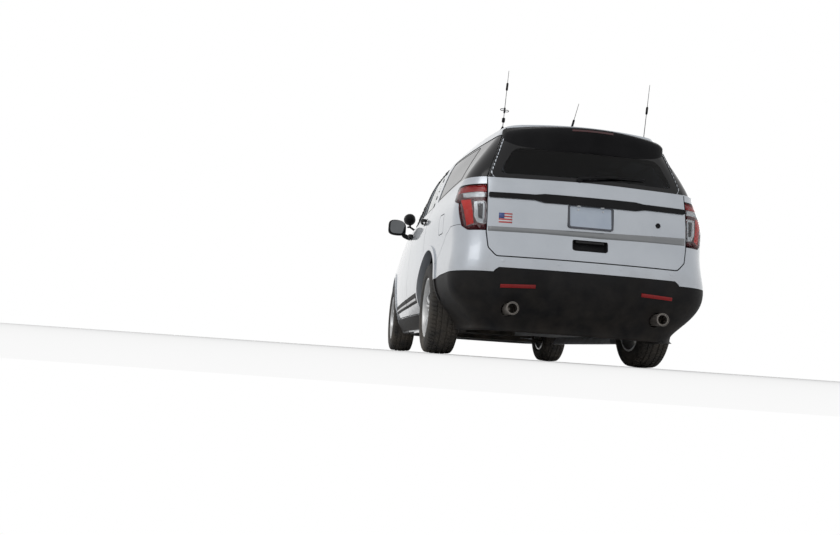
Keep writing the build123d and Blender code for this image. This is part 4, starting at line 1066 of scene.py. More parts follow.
def add_mirrors():
    """Door mirrors: a shell on a foot as one piece, and the glass."""
    for side, sign in SIDES.items():
        body = f"front_door_{side}"
        sections = []
        for y, front, rear, low, high in MIRROR_ROWS:
            centre = ((front + rear) / 2, sign * y, (low + high) / 2)
            sections.append(squarish(centre, (front - rear) / 2, (high - low) / 2, 3.2, AHEAD))
        shell = form(f"mirror_shell_{side}", body, sections, "black_trim", level=1)
        foot = [squarish((x, sign * y, z), wide, tall, 2.6, AHEAD) for y, x, z, wide, tall in MIRROR_FOOT]
        arm = form(f"mirror_foot_{side}", body, foot, "black_trim", level=1)
        whole = joined(f"mirror_{side}", [shell, arm])
        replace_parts(whole, f"door_mirror_{side}")
        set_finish(whole, "black_trim")
        glass = [squarish((x, sign * MIRROR_Y, MIRROR_Z), w, h, 3.6, count=32) for x, w, h in MIRROR_GLASS]
        form(f"mirror_glass_{side}", body, glass, "mirror_glass", slot="black_trim", edge=0.0005)


SPOT_CENTRE = (1.020, 0.895, 1.415)
SPOT_SCALE = 0.8
SPOT_BUCKET = [
    (-0.085, 0.0), (-0.084, 0.018), (-0.076, 0.036), (-0.055, 0.054), (-0.020, 0.068), (0.020, 0.074),
    (0.050, 0.075), (0.056, 0.079), (0.064, 0.079), (0.067, 0.074), (0.066, 0.070), (0.052, 0.067),
    (0.020, 0.055), (-0.010, 0.030), (-0.015, 0.0),
]
SPOT_LENS = [(0.045, 0.0), (0.045, 0.057), (0.048, 0.057), (0.055, 0.036), (0.058, 0.0)]
SPOT_BULB = [(-0.01, 0.0), (-0.005, 0.016), (0.02, 0.014), (0.035, 0.0)]
SPOT_SHAFT = [(1.018, 0.895, 1.365), (1.012, 0.890, 1.325), (1.005, 0.850, 1.300), (0.995, 0.800, 1.292)]
SPOT_COLLAR = [(0.0, 0.0), (0.0, 0.020), (0.014, 0.018), (0.018, 0.0)]


def add_spot_lamp():
    """The round lamp on the left pillar: bucket, rim, lens, and the shaft into the cabin."""
    bucket = [(along * SPOT_SCALE, radius * SPOT_SCALE) for along, radius in SPOT_BUCKET]
    parts = [
        turned("spot_bucket", "body", bucket, SPOT_CENTRE, AHEAD, "black_trim", 48),
        turned("spot_lens", "body", SPOT_LENS, SPOT_CENTRE, AHEAD, "lens_clear", 40),
        turned("spot_bulb", "body", SPOT_BULB, SPOT_CENTRE, AHEAD, "lamp_chrome", 20),
        tube("spot_shaft", "body", SPOT_SHAFT, 0.011, "black_trim", 12),
        turned("spot_collar", "body", SPOT_COLLAR, (1.015, 0.902, 1.318), (0, 0.1, 1), "black_trim", 20),
    ]
    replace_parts(joined("spot_lamp_round", parts), "spot_lamp")


# Aerials: foot (x, y), tip from the foot, lumps on the rod (share of height, radius, half length), loops
AERIALS = [
    ((-1.935, 0.560), (0.0, -0.022, 0.468), [(0.14, 0.012, 0.018), (0.72, 0.0085, 0.030)], True),
    ((-1.930, 0.035), (-0.020, -0.050, 0.246), [(0.30, 0.0085, 0.035)], False),
    ((-2.050, -0.500), (0.0, -0.030, 0.440), [(0.52, 0.0085, 0.030)], False),
]
AERIAL_FOOT = [
    (-0.004, 0.0), (-0.004, 0.024), (0.004, 0.023), (0.012, 0.014), (0.026, 0.009), (0.034, 0.006),
    (0.034, 0.0),
]
AERIAL_CLIP = [(-0.02, 0.0), (-0.02, 0.007), (0.02, 0.007), (0.02, 0.0)]
AERIAL_STEPS = 20
LOOP_SHARE = 0.31


def aerial_loop(middle, turn_sign):
    """A small loop of cable beside an aerial's rod."""
    ring = []
    for a in angles(20):
        across = turn_sign * (0.016 + 0.016 * math.cos(a))
        ring.append(middle + Vector((0, across, 0.007 * math.sin(a) + turn_sign * 0.004)))
    return ring


def add_aerials():
    """Three tapered rods on round feet, as one piece."""
    parts = []
    for number, ((x, y), lean, lumps, looped) in enumerate(AERIALS):
        foot = surface_place("top", x, y, ("roof_panel", "side_panels"))[0]
        parts.append(turned(f"aerial_foot_{number}", "body", AERIAL_FOOT, foot, UP, "black_trim", 24))
        start, end = foot + Vector((0, 0, 0.02)), foot + Vector(lean)
        rod = [start.lerp(end, i / AERIAL_STEPS) for i in range(AERIAL_STEPS + 1)]
        radii = [0.0030 - 0.0012 * i / AERIAL_STEPS for i in range(AERIAL_STEPS + 1)]
        parts.append(tube(f"aerial_rod_{number}", "body", rod, radii, "gloss_black", 8))
        for share, radius, half in lumps:
            neck = radius * 0.6
            lump = [
                (-half, 0.0), (-half, neck), (-half * 0.8, radius), (half * 0.8, radius), (half, neck),
                (half, 0.0),
            ]
            place = start.lerp(end, share)
            parts.append(turned(f"aerial_lump_{number}", "body", lump, place, end - start, "black_trim", 16))
        if looped:
            middle = start.lerp(end, LOOP_SHARE)
            for turn_sign in (-1, 1):
                ring = aerial_loop(middle, turn_sign)
                parts.append(
                    tube(f"aerial_loop_{number}", "body", ring, 0.0028, "black_trim", 6, closed=True)
                )
            parts.append(
                turned(f"aerial_clip_{number}", "body", AERIAL_CLIP, middle, end - start, "black_trim", 12)
            )
    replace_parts(joined("aerials", parts), "antennas")


# The spoiler's profile at the car's middle: x, height
SPOILER = [
    (-2.102, 1.718), (-2.170, 1.711), (-2.240, 1.699), (-2.330, 1.674), (-2.382, 1.660), (-2.397, 1.648),
    (-2.392, 1.622), (-2.364, 1.580), (-2.336, 1.530), (-2.320, 1.490), (-2.296, 1.486), (-2.200, 1.560),
    (-2.102, 1.650),
]
# Half of its width: distance from the middle, size of the profile there
SPOILER_ENDS = [
    (0.0, 1.0), (0.16, 1.0), (0.32, 1.0), (0.46, 0.995), (0.525, 0.975), (0.565, 0.93), (0.590, 0.86),
    (0.604, 0.72),
]
SPOILER_CENTRE = (-2.16, 1.63)
# How far it is drawn forward and down, for each metre squared from the middle
SPOILER_SWEEP, SPOILER_DROP = 0.42, 0.115
BRAKE_LAMP = [(0.0, 0.007), (-0.002, 0.006), (-0.002, -0.006), (0.0, -0.007), (0.006, 0.0)]


def add_spoiler():
    """The spoiler over the rear window, crowned and drawn forward at its ends, with the high brake lamp."""
    rows = [(-y, size) for y, size in reversed(SPOILER_ENDS)] + SPOILER_ENDS[1:]
    middle_x, middle_z = SPOILER_CENTRE
    front_x = SPOILER[0][0]
    sections = []
    for y, size in rows:
        ring = []
        for x, z in SPOILER:
            x_end, z_end = middle_x + (x - middle_x) * size, middle_z + (z - middle_z) * size
            back = max(0.0, (front_x - x) / 0.288)
            ring.append(Vector((x_end + SPOILER_SWEEP * y * y * back, y, z_end - SPOILER_DROP * y * y)))
        sections.append(ring)
    wing = form("spoiler_wing", "tailgate", sections, "black_trim", slot="black_trim", level=1)
    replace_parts(wing, "rear_spoiler")
    bar = []
    for y in np.linspace(-0.15, 0.15, 9):
        x, z = -2.3905 + SPOILER_SWEEP * y * y, 1.636 - SPOILER_DROP * y * y
        bar.append([(x + dx, y, z + dz) for dx, dz in BRAKE_LAMP])
    form("high_brake_lamp", "tailgate", bar, "lamp_maroon", slot="lamp_red", edge=0.0006)


# Tailgate
BAND = [
    (0.712, 0.867), (0.360, 0.870), (-0.070, 0.867), (-0.365, 0.875), (-0.712, 0.881), (-0.712, 0.934),
    (-0.365, 0.921), (-0.070, 0.911), (0.360, 0.904), (0.712, 0.901),
]
PLATE_Z = 1.013
PLATE_HALF = (0.152, 0.0755)
PLATE_X = -2.4305
PLATE_LEAN = 0.175
# Rings of the plate and of its frame: how far past the plate's edge, how far out
PLATE_FACE = [
    (0.0, 0.0), (0.0, 0.0014), (-0.003, 0.0018), (-0.006, 0.0018), (-0.008, 0.0011), (-0.03, 0.0011),
]
PLATE_FRAME = [
    (0.010, -0.001), (0.011, 0.003), (0.009, 0.005), (-0.001, 0.005), (-0.003, 0.0035), (-0.003, -0.001),
]
PLATE_SCREW = [(0.0, 0.0), (0.0, 0.006), (0.0035, 0.0055), (0.0045, 0.003), (0.0045, 0.0)]
SCREW_Y, SCREW_Z = 0.089, 0.049


def plate_face(name, body, x, middle_z, lean):
    """A blank plate in a frame with two screws. It leans forward by a share of its height."""
    half_y, half_z = PLATE_HALF

    def loop(grow, lift):
        y, z = half_y + grow, half_z + grow
        points = rectangle(-y, y, -z, z, 0.012 + max(0, grow))
        return [(x - lift + lean * v, u, middle_z + v) for u, v in points]

    face = [loop(*row) for row in PLATE_FACE]
    piece(f"{name}_face", body, ring_mesh(face), "plate_face", slot="body_paint")
    rim = [loop(*row) for row in PLATE_FRAME]
    sharpened(piece(f"{name}_frame", body, ring_mesh(rim, looped=True), "plate_frame", slot="black_trim"))
    for y in (-SCREW_Y, SCREW_Y):
        place = (x - 0.001 + lean * SCREW_Z, y, middle_z + SCREW_Z)
        turned(f"{name}_screw", body, PLATE_SCREW, place, BACK, "steel", 16)


def tray(name, body, outline, view, nodes, depth, rim, material):
    """A recess lined with plastic: a raised lip on the surface, walls going in, and a floor."""
    count = len(outline)
    middle = Vector((sum(u for u, _ in outline) / count, sum(v for _, v in outline) / count))
    direction, start = VIEWS[view]

    def loop(share, lift):
        ring = []
        for point in outline:
            out = Vector(point) - middle
            p = middle + out * share
            hit, _ = surface_place(view, *(middle + out * 1.09), nodes)
            place = start(p.x, p.y)
            ring.append(place + direction * ((hit - place).dot(direction) - lift))
        return ring

    # share of the outline's size, how far out of the surface
    rows = [
        (1.0 + rim, -0.001), (1.0 + rim, 0.0015), (1.0 + rim / 2, 0.003), (1.0, 0.0015), (0.97, -depth * 0.5),
        (0.93, -depth), (0.5, -depth),
    ]
    bm = ring_mesh([loop(*row) for row in rows], capped=False)
    bm.faces.new(list(bm.verts)[-count:])
    bmesh.ops.recalc_face_normals(bm, faces=bm.faces)
    for face in bm.faces:
        if face.normal.dot(direction) > 0.3:
            face.normal_flip()
    return sharpened(piece(name, body, bm, material, slot="black_trim"), 40)


# The grip's section: x, height, from its middle
GATE_GRIP = [
    (0.0, 0.004), (-0.004, -0.002), (-0.003, -0.012), (0.004, -0.016), (0.014, -0.008), (0.014, 0.006),
]
GATE_DOT = [(0.0, 0.0185), (0.003, 0.0185), (0.0045, 0.016), (0.0035, 0.0125), (0.0035, 0.0)]
PLATE_LAMP = [(0.0, 0.018), (0.010, 0.017), (0.014, 0.012), (0.014, 0.0)]


def add_tailgate():
    """The grey band, blank plate, grip in its cup, round key cover, sticker, wiper and plate lamps."""
    nodes = ("tailgate",)
    draped("gate_band", "tailgate", BAND, "rear", nodes, "band_grey", 0.0, 0.0007, 0.03, 0, slot="body_paint")
    plate_face("rear_plate", "tailgate", PLATE_X, PLATE_Z, PLATE_LEAN)
    cup = rectangle(-0.121, 0.121, 0.775, 0.845, 0.016)
    tray("gate_handle_cup", "tailgate", cup, "rear", nodes, 0.026, 0.05, "black_trim")
    grip = []
    for y in np.linspace(-0.105, 0.105, 15):
        x = -2.452 + 0.35 * y * y
        grip.append([(x + dx, y, 0.838 + dz) for dx, dz in GATE_GRIP])
    form("gate_handle_grip", "tailgate", grip, "gloss_black", slot="black_trim", level=1)
    mounted(
        "gate_dot", "tailgate", GATE_DOT, "rear", (-0.500, 1.003), nodes, "black_trim", 32, slot="black_trim",
    )
    add_sticker()
    add_rear_wiper()
    for y in (-0.085, 0.085):
        turned("plate_lamp", "tailgate", PLATE_LAMP, (-2.414, y, 1.094), DOWN, "lamp_clear", 20)


STICKER = (0.549, 0.641, 0.930, 1.000)
STICKER_ROWS = 7
STICKER_CORNER = (0.603, 0.961)


def add_sticker():
    """A small striped sticker with a plain blue corner."""
    y0, y1, z0, z1 = STICKER
    for row in range(STICKER_ROWS):
        low, high = z0 + (z1 - z0) * row / STICKER_ROWS, z0 + (z1 - z0) * (row + 1) / STICKER_ROWS
        stripe = rectangle(y0, y1, low, high)
        colour = "sticker_red" if row % 2 == 0 else "sticker_white"
        draped(
            f"sticker_row_{row}", "tailgate", stripe, "rear", ("tailgate",), colour, 0.0002, 0.0004, 0.03, 0,
        )
    corner = rectangle(STICKER_CORNER[0], y1, STICKER_CORNER[1], z1)
    draped(
        "sticker_corner", "tailgate", corner, "rear", ("tailgate",), "sticker_blue", 0.0005, 0.0005, 0.03, 0,
    )


REAR_BOSS = [(0.0, 0.0), (0.0, 0.021), (0.012, 0.020), (0.020, 0.014), (0.022, 0.0)]


def wiper_blade(names, body, view, nodes, spine, blade, lift):
    """A wiper's spine over its rubber blade, along two lines of places on the glass."""
    spine_name, blade_name = names
    high = [above(view, y, z, nodes, lift) for y, z in spine]
    tube(spine_name, body, high, 0.0055, "black_trim", 8, slot="black_trim")
    low = [above(view, y, z, nodes, 0.006) for y, z in blade]
    tube(blade_name, body, low, 0.0045, "seal_rubber", 6, slot="black_trim")


def add_rear_wiper():
    """The rear wiper, parked along the bottom of the glass."""
    nodes = ("tailgate", "tailgate_window")
    place = (0.075, 1.284)
    mounted(
        "rear_wiper_boss", "tailgate", REAR_BOSS, "rear", place, nodes, "black_trim", 28, slot="black_trim",
    )
    arm, radii = [], []
    for t in np.linspace(0, 1, 14):
        lift = 0.020 + 0.006 * math.sin(math.pi * t)
        arm.append(above("rear", 0.075 - 0.30 * t, 1.288 + 0.034 * t, nodes, lift))
        radii.append(0.010 - 0.005 * t)
    tube("rear_wiper_arm", "tailgate", arm, radii, "black_trim", 8, slot="black_trim")
    spine = [(y, 1.318 + 0.012 * (-0.03 - y) / 0.38) for y in np.linspace(-0.03, -0.41, 18)]
    blade = [(y, 1.315 + 0.012 * (-0.03 - y) / 0.38) for y in np.linspace(-0.035, -0.405, 18)]
    names = ("rear_wiper_spine", "rear_wiper_blade")
    wiper_blade(names, "tailgate", "rear", nodes, spine, blade, 0.014)


EXHAUST_TIP = [
    (-0.150, 0.040), (0.000, 0.043), (0.010, 0.0455), (0.016, 0.0445), (0.017, 0.0420), (0.010, 0.0400),
    (-0.100, 0.0370), (-0.140, 0.0370),
]
EXHAUST_BORE = [(-0.100, 0.0), (-0.100, 0.0365), (-0.096, 0.0365), (-0.097, 0.018), (-0.099, 0.0)]
PARK_SENSOR = [(-0.002, 0.0), (-0.002, 0.0125), (0.0008, 0.0125), (0.0016, 0.0105), (0.0018, 0.0)]
REFLECTOR = [(0.375, 0.487), (0.612, 0.478), (0.612, 0.502), (0.375, 0.512)]


def add_rear_bumper():
    """Reflectors, exhaust tips and parking sensors."""
    lower, upper = ("rear_valance",), ("rear_bumper", "rear_valance")
    pipe = {"slot": "exhaust_metal"}
    for side, sign in SIDES.items():
        strip = [(sign * u, v) for u, v in REFLECTOR]
        draped(
            f"reflector_{side}", "body", strip, "rear", lower, "lamp_red", 0.0, 0.006, 0.03, 0.002,
            "lamp_red",
        )
        end = (-2.478, sign * 0.530, 0.340)
        turned(
            f"exhaust_sleeve_{side}", "body", EXHAUST_TIP, end, BACK, "exhaust_metal", 48, closed=True,
            **pipe,
        )
        turned(f"exhaust_bore_{side}", "body", EXHAUST_BORE, end, BACK, "liner_plastic", 32, **pipe)
        for number, y in enumerate((0.22, 0.60)):
            name, place = f"park_sensor_{side}_{number}", (sign * y, 0.665)
            mounted(name, "body", PARK_SENSOR, "rear", place, upper, "body_paint", 24, slot="body_paint")


# Seats
SEAT_VOXEL = 0.007
CLOTH_FRAMES = 20
CLOTH_PRESSURE = 4.0
# How far along its width a cushion's sections are, and their size
CUSHION_SECTIONS = [
    (0.0, 0.86), (0.05, 0.96), (0.14, 1.0), (0.5, 1.01), (0.86, 1.0), (0.95, 0.96), (1.0, 0.86),
]


def cushion_block(outline, y0, y1):
    """A block drawn from the side in X and Z, drawn in towards both ends."""
    middle = sum((Vector((u, 0, v)) for u, v in outline), Vector()) / len(outline)
    sections = []
    for share, size in CUSHION_SECTIONS:
        y = y0 + (y1 - y0) * share
        sections.append(
            [middle + (Vector((u, 0, v)) - middle) * size + Vector((0, y, 0)) for u, v in outline]
        )
    return ring_mesh(sections)


def puffed(obj, cap):
    """Blows a cushion up with cloth and pressure, and keeps each point within a cap of where it was."""
    remesh = obj.modifiers.new("remesh", "REMESH")
    remesh.mode = "VOXEL"
    remesh.voxel_size = SEAT_VOXEL
    bake(obj)
    rest = np.array([v.co for v in obj.data.vertices])
    cloth = obj.modifiers.new("cloth", "CLOTH")
    cloth.settings.use_pressure = True
    cloth.settings.uniform_pressure_force = CLOTH_PRESSURE
    cloth.settings.effector_weights.gravity = 0.0
    cloth.settings.quality = 4
    cloth.point_cache.frame_start = 1
    cloth.point_cache.frame_end = CLOTH_FRAMES
    for number in range(1, CLOTH_FRAMES + 1):
        bpy.context.scene.frame_set(number)
    bake(obj)
    bpy.context.scene.frame_set(1)
    move = np.array([v.co for v in obj.data.vertices]) - rest
    length = np.linalg.norm(move, axis=1, keepdims=True)
    now = rest + move * np.minimum(1.0, cap / np.maximum(length, 1e-9))
    obj.data.vertices.foreach_set("co", now.ravel())
    obj.data.update()
    return obj


def bake(obj):
    """Applies all modifiers."""
    graph = bpy.context.evaluated_depsgraph_get()
    graph.update()
    mesh = bpy.data.meshes.new_from_object(obj.evaluated_get(graph), depsgraph=graph)
    materials = list(obj.data.materials)
    obj.modifiers.clear()
    obj.data = mesh
    mesh.materials.clear()
    for m in materials:
        mesh.materials.append(m)
    mesh.polygons.foreach_set("use_smooth", [True] * len(mesh.polygons))
    return obj


SEAM_DEPTH, SEAM_WIDTH = 0.007, 0.012
# The length over which a seam fades at its ends
SEAM_FADE = 0.03


def sewn(obj, lines):
    """Draws the cover in along seams: each one's axis and place, the other axis, its range and its facing."""
    co = np.array([v.co for v in obj.data.vertices])
    normal = np.array([v.normal for v in obj.data.vertices])
    for axis, place, other, low, high, facing in lines:
        near = np.exp(-(((co[:, axis] - place) / SEAM_WIDTH) ** 2))
        start, stop = (co[:, other] - low) / SEAM_FADE, (high - co[:, other]) / SEAM_FADE
        ends = np.clip(start, 0, 1) * np.clip(stop, 0, 1)
        side = np.clip(normal @ np.array(facing) * 2 - 0.4, 0, 1)
        co -= normal * (near * ends * side * SEAM_DEPTH)[:, None]
    obj.data.vertices.foreach_set("co", co.ravel())
    obj.data.update()
    return obj


def thread(name, obj, points, direction, radius=0.0012):
    """A line of stitching that lies on a cushion along points cast at it."""
    graph = bpy.context.evaluated_depsgraph_get()
    tree = BVHTree.FromObject(obj, graph)
    found = []
    for p in points:
        hit = tree.ray_cast(Vector(p) - Vector(direction) * 0.3, Vector(direction))[0]
        if hit is not None:
            found.append(hit)
    if len(found) > 3:
        tube(name, "body", found, radius, "seam_thread", sides=6)


def span(a, b, count=30):
    """Points evenly along a straight line."""
    return [Vector(a).lerp(Vector(b), i / count) for i in range(count + 1)]


# Cushions seen from the side: x, height
FRONT_CUSHION = [
    (-0.120, 0.418), (-0.108, 0.525), (0.12, 0.548), (0.372, 0.576), (0.398, 0.556), (0.388, 0.478),
    (0.10, 0.440),
]
FRONT_BACK = [
    (-0.190, 0.500), (-0.255, 0.82), (-0.318, 1.155), (-0.245, 1.185), (-0.200, 1.115), (-0.125, 0.80),
    (-0.075, 0.555), (-0.125, 0.487),
]
FRONT_HEAD = [(-0.335, 1.225), (-0.348, 1.345), (-0.285, 1.364), (-0.256, 1.335), (-0.258, 1.230)]
REAR_CUSHION = [
    (-0.995, 0.440), (-0.972, 0.535), (-0.76, 0.552), (-0.550, 0.568), (-0.528, 0.540), (-0.535, 0.462),
    (-0.76, 0.446),
]
REAR_BACK = [
    (-1.008, 0.468), (-1.075, 0.80), (-1.142, 1.140), (-1.082, 1.166), (-1.044, 1.120), (-0.965, 0.82),
    (-0.893, 0.570), (-0.960, 0.465),
]
# The plastic cover on a front cushion's side
SEAT_COVER = [(-0.155, 0.415), (-0.150, 0.500), (-0.06, 0.505), (0.33, 0.500), (0.375, 0.470), (0.33, 0.420)]
SEAT_Y, SEAT_HALF = 0.37, 0.235
# Where a front seat's long seams are, and how far the cross seams reach
SEAM_OUT, SEAM_REACH = 0.145, 0.15
REAR_SEAMS = (0.14, 0.42)
REAR_HALF = 0.525
HEAD_HALF = 0.122
# The axes of a seam's numbers, and the ways that a cushion and a back face
X, Y, Z = 0, 1, 2
FACING_UP, FACING_AHEAD = (0, 0, 1), (1, 0, 0.25)


def fabric_piece(name, outline, y0, y1, cap, lines, replaced=None):
    """A sewn cushion: its block blown up, drawn in at its seams, and smoothed."""
    obj = piece(name, "body", cushion_block(outline, y0, y1), "seat_fabric", slot="seat_fabric")
    puffed(obj, cap)
    sewn(obj, lines)
    smooth = obj.modifiers.new("smooth", "SMOOTH")
    smooth.factor = 0.5
    smooth.iterations = 2
    bake(obj)
    if replaced:
        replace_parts(obj, replaced)
    return obj


def twin(obj, name, offset):
    """The same cushion for the other seat."""
    other = bpy.data.objects.new(name, obj.data.copy())
    bpy.context.scene.collection.objects.link(other)
    other.data.transform(Matrix.Translation(offset))
    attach(other, "body")
    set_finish(other, "seat_fabric")
    return other


def seat_seams(middle, long_axis, low, high, crossings, facing):
    """Two long seams and the seams between them."""
    lines = [(Y, middle + side * SEAM_OUT, long_axis, low, high, facing) for side in (-1, 1)]
    for place in crossings:
        lines.append((long_axis, place, Y, middle - SEAM_REACH, middle + SEAM_REACH, facing))
    return lines


def add_seat_base(side, sign):
    """Stitching, side covers, rails, legs and the posts of the head restraint of one front seat."""
    middle = sign * SEAT_Y
    cushion, back = (bpy.data.objects[f"front_{part}_{side}"] for part in ("cushion", "back"))
    for number, offset in enumerate((-SEAM_OUT, SEAM_OUT)):
        y = middle + offset
        thread(f"seat_seam_{side}_{number}", cushion, span((-0.09, y, 0.55), (0.36, y, 0.55)), DOWN)
        thread(f"back_seam_{side}_{number}", back, span((-0.10, y, 0.60), (-0.21, y, 1.13)), BACK)
    for edge in (-1, 1):
        y0 = middle + edge * 0.236
        sections = [
            [(u, y0 + edge * w, v) for u, v in rounded(SEAT_COVER, 0.03)] for w in (0.0, 0.008, 0.011)
        ]
        cover = f"seat_cover_{side}_{'out' if edge * sign > 0 else 'in'}"
        form(cover, "body", sections, "seat_side", edge=0.003)
        rail_y, end = middle + edge * 0.16, edge + 1
        low, high = (-0.135, rail_y - 0.02, 0.293), (0.365, rail_y + 0.02, 0.325)
        slab(f"seat_rail_{side}_{end}", "body", low, high, "chassis_metal")
        for x in (-0.09, 0.28):
            low, high = (x, rail_y - 0.015, 0.32), (x + 0.05, rail_y + 0.015, 0.43)
            slab(f"seat_leg_{side}_{end}_{int(x > 0)}", "body", low, high, "chassis_metal")
        post_y = middle + edge * 0.06
        post = span((-0.300, post_y, 1.14), (-0.304, post_y, 1.27), 4)
        tube(f"head_post_{side}_{end}", "body", post, 0.0065, "chrome")


def add_front_seats():
    """The left seat's sewn cushions, their copies on the right, and what carries both."""
    y, half = SEAT_Y, SEAT_HALF
    seams = seat_seams(y, X, -0.09, 0.36, (0.24, 0.08), FACING_UP)
    cushion = fabric_piece(
        "front_cushion_left", FRONT_CUSHION, y - half, y + half, 0.014, seams, "front_seats",
    )
    seams = seat_seams(y, Z, 0.58, 1.14, (0.98, 0.76), FACING_AHEAD)
    back = fabric_piece("front_back_left", FRONT_BACK, y - half + 0.006, y + half - 0.006, 0.014, seams)
    seams = [(Z, 1.25, Y, y - 0.12, y + 0.12, FACING_AHEAD)]
    head = fabric_piece("front_head_left", FRONT_HEAD, y - HEAD_HALF, y + HEAD_HALF, 0.008, seams)
    for obj in (cushion, back, head):
        twin(obj, obj.name.replace("left", "right"), Vector((0, -2 * y, 0)))
    for side, sign in SIDES.items():
        add_seat_base(side, sign)


def add_rear_seat():
    """The rear bench with its back, two head restraints and the plinth under it."""
    half = REAR_HALF
    seams = [(Y, sign * out, X, -0.96, -0.55, FACING_UP) for sign in (-1, 1) for out in REAR_SEAMS]
    seams.append((X, -0.70, Y, -0.42, 0.42, FACING_UP))
    fabric_piece("rear_cushion", REAR_CUSHION, -half, half, 0.012, seams, "rear_seat")
    seams = [(Y, sign * out, Z, 0.58, 1.13, FACING_AHEAD) for sign in (-1, 1) for out in REAR_SEAMS]
    seams.append((Z, 0.90, Y, -0.42, 0.42, FACING_AHEAD))
    fabric_piece("rear_back", REAR_BACK, -half, half, 0.012, seams)
    outline = [(u - 0.845, v - 0.035) for u, v in FRONT_HEAD]
    for number, y in enumerate((-0.32, 0.32)):
        fabric_piece(f"rear_head_{number}", outline, y - 0.115, y + 0.115, 0.006, [])
    slab("rear_seat_plinth", "body", (-0.955, -0.50, 0.408), (-0.575, 0.50, 0.452), "seat_side", edge=0.006)


# Front end
def netting(name, box, cell, wire, place):
    """A net of diamond holes over a box of two numbers, carried into the scene by a function of them."""
    (u0, v0), (u1, v1) = box
    wide, half_u, half_v = cell[0], cell[0] / 2, cell[1] / 2
    bm = bmesh.new()
    rows, columns = int((v1 - v0) / half_v), int((u1 - u0) / wide)
    for row in range(1, rows):
        for column in range(columns):
            u = u0 + half_u * (1 + row % 2) + wide * column
            v = v0 + half_v * row
            corners = ((u - half_u, v), (u, v - half_v), (u + half_u, v), (u, v + half_v))
            bm.faces.new([bm.verts.new(place(*corner)) for corner in corners])
    bmesh.ops.remove_doubles(bm, verts=bm.verts, dist=1e-5)
    obj = piece(name, "body", bm, "black_trim", slot="black_trim")
    net = obj.modifiers.new("net", "WIREFRAME")
    net.thickness = wire
    net.use_even_offset = False
    return obj


FOG_PLACE = (0.70, 0.42)
# A fog lamp's turned parts: name, material, slot, profile
FOG_PARTS = [
    ("bezel", "black_trim", "black_trim", [
        (-0.030, 0.0), (-0.030, 0.052), (0.018, 0.056), (0.022, 0.052), (0.018, 0.045), (-0.006, 0.040),
        (-0.012, 0.036), (-0.014, 0.0),
    ]),
    ("bowl", "lamp_chrome", "lamp_clear", [
        (-0.0135, 0.0), (-0.0130, 0.012), (-0.010, 0.026), (-0.002, 0.038), (-0.003, 0.036), (-0.0118, 0.025),
        (-0.012, 0.0),
    ]),
    ("lens", "lens_clear", "lamp_clear", [
        (0.000, 0.0), (0.000, 0.0395), (0.003, 0.0395), (0.007, 0.022), (0.008, 0.0),
    ]),
]


def add_fog_lamp(side, sign):
    """A round fog lamp in a black bezel, set into the bumper."""
    y, z = FOG_PLACE
    hit, _ = surface_place("front", sign * y, z, ("front_bumper",))
    for part, material, slot, profile in FOG_PARTS:
        turned(f"fog_{part}_{side}", "body", profile, hit, AHEAD, material, 40, slot=slot)


WIPER_BOSS = [(-0.002, 0.0), (-0.002, 0.019), (0.016, 0.018), (0.024, 0.013), (0.027, 0.0)]
# Where the two wipers turn and where their blades end, across the car
WIPERS = [(0.62, 0.03), (-0.02, -0.58)]


def add_wiper(number, pivot_y, tip_y):
    """A windshield wiper, parked along the bottom of the glass."""
    nodes = ("windshield", "cowl_panel")
    foot, normal = surface_place("top", 1.300, pivot_y, ("cowl_panel",))
    turned(f"wiper_boss_{number}", "body", WIPER_BOSS, foot, normal, "black_trim", 24, slot="black_trim")
    reach = tip_y - pivot_y
    start = foot + normal * 0.019
    middle = above("front", pivot_y + reach * 0.50, 1.283, nodes, 0.022)
    shares = np.linspace(0, 1, 14)
    arm = [start.lerp(middle, t) + Vector((0, 0, 0.018 * math.sin(math.pi * t))) for t in shares]
    radii = [0.010 - 0.0045 * t for t in shares]
    tube(f"wiper_arm_{number}", "body", arm, radii, "black_trim", 8, slot="black_trim")
    line = [(pivot_y + reach * share, 1.278 + 0.012 * share) for share in np.linspace(0.06, 1.0, 22)]
    names = (f"wiper_spine_{number}", f"wiper_blade_{number}")
    wiper_blade(names, "body", "front", nodes, line, line, 0.015)


# Each net behind an opening: name, X, from and to in Y and Z, size of a hole, thickness of the wire
NETS = [
    ("intake_net", 2.372, ((-0.585, 0.325), (0.585, 0.585)), (0.039, 0.024), 0.0035),
    ("grille_net", 2.345, ((-0.500, 0.668), (0.500, 0.976)), (0.040, 0.022), 0.003),
]
HEAD_LAMP_BAR = [(0.57, 0.890), (0.84, 0.902), (0.84, 0.916), (0.57, 0.905)]
AMBER_STRIP = [(2.050, 0.905), (2.170, 0.890), (2.170, 0.918), (2.060, 0.934)]
WASHER_JET = [(-0.001, 0.0), (-0.001, 0.013), (0.004, 0.011), (0.009, 0.006), (0.010, 0.0)]


def on_cowl(y, x):
    """A place just over the cowl."""
    hit = surface_place("top", x, y, ("cowl_panel",))[0]
    return hit + Vector((0, 0, 0.0012)) if hit is not None else Vector((x, y, 1.2))


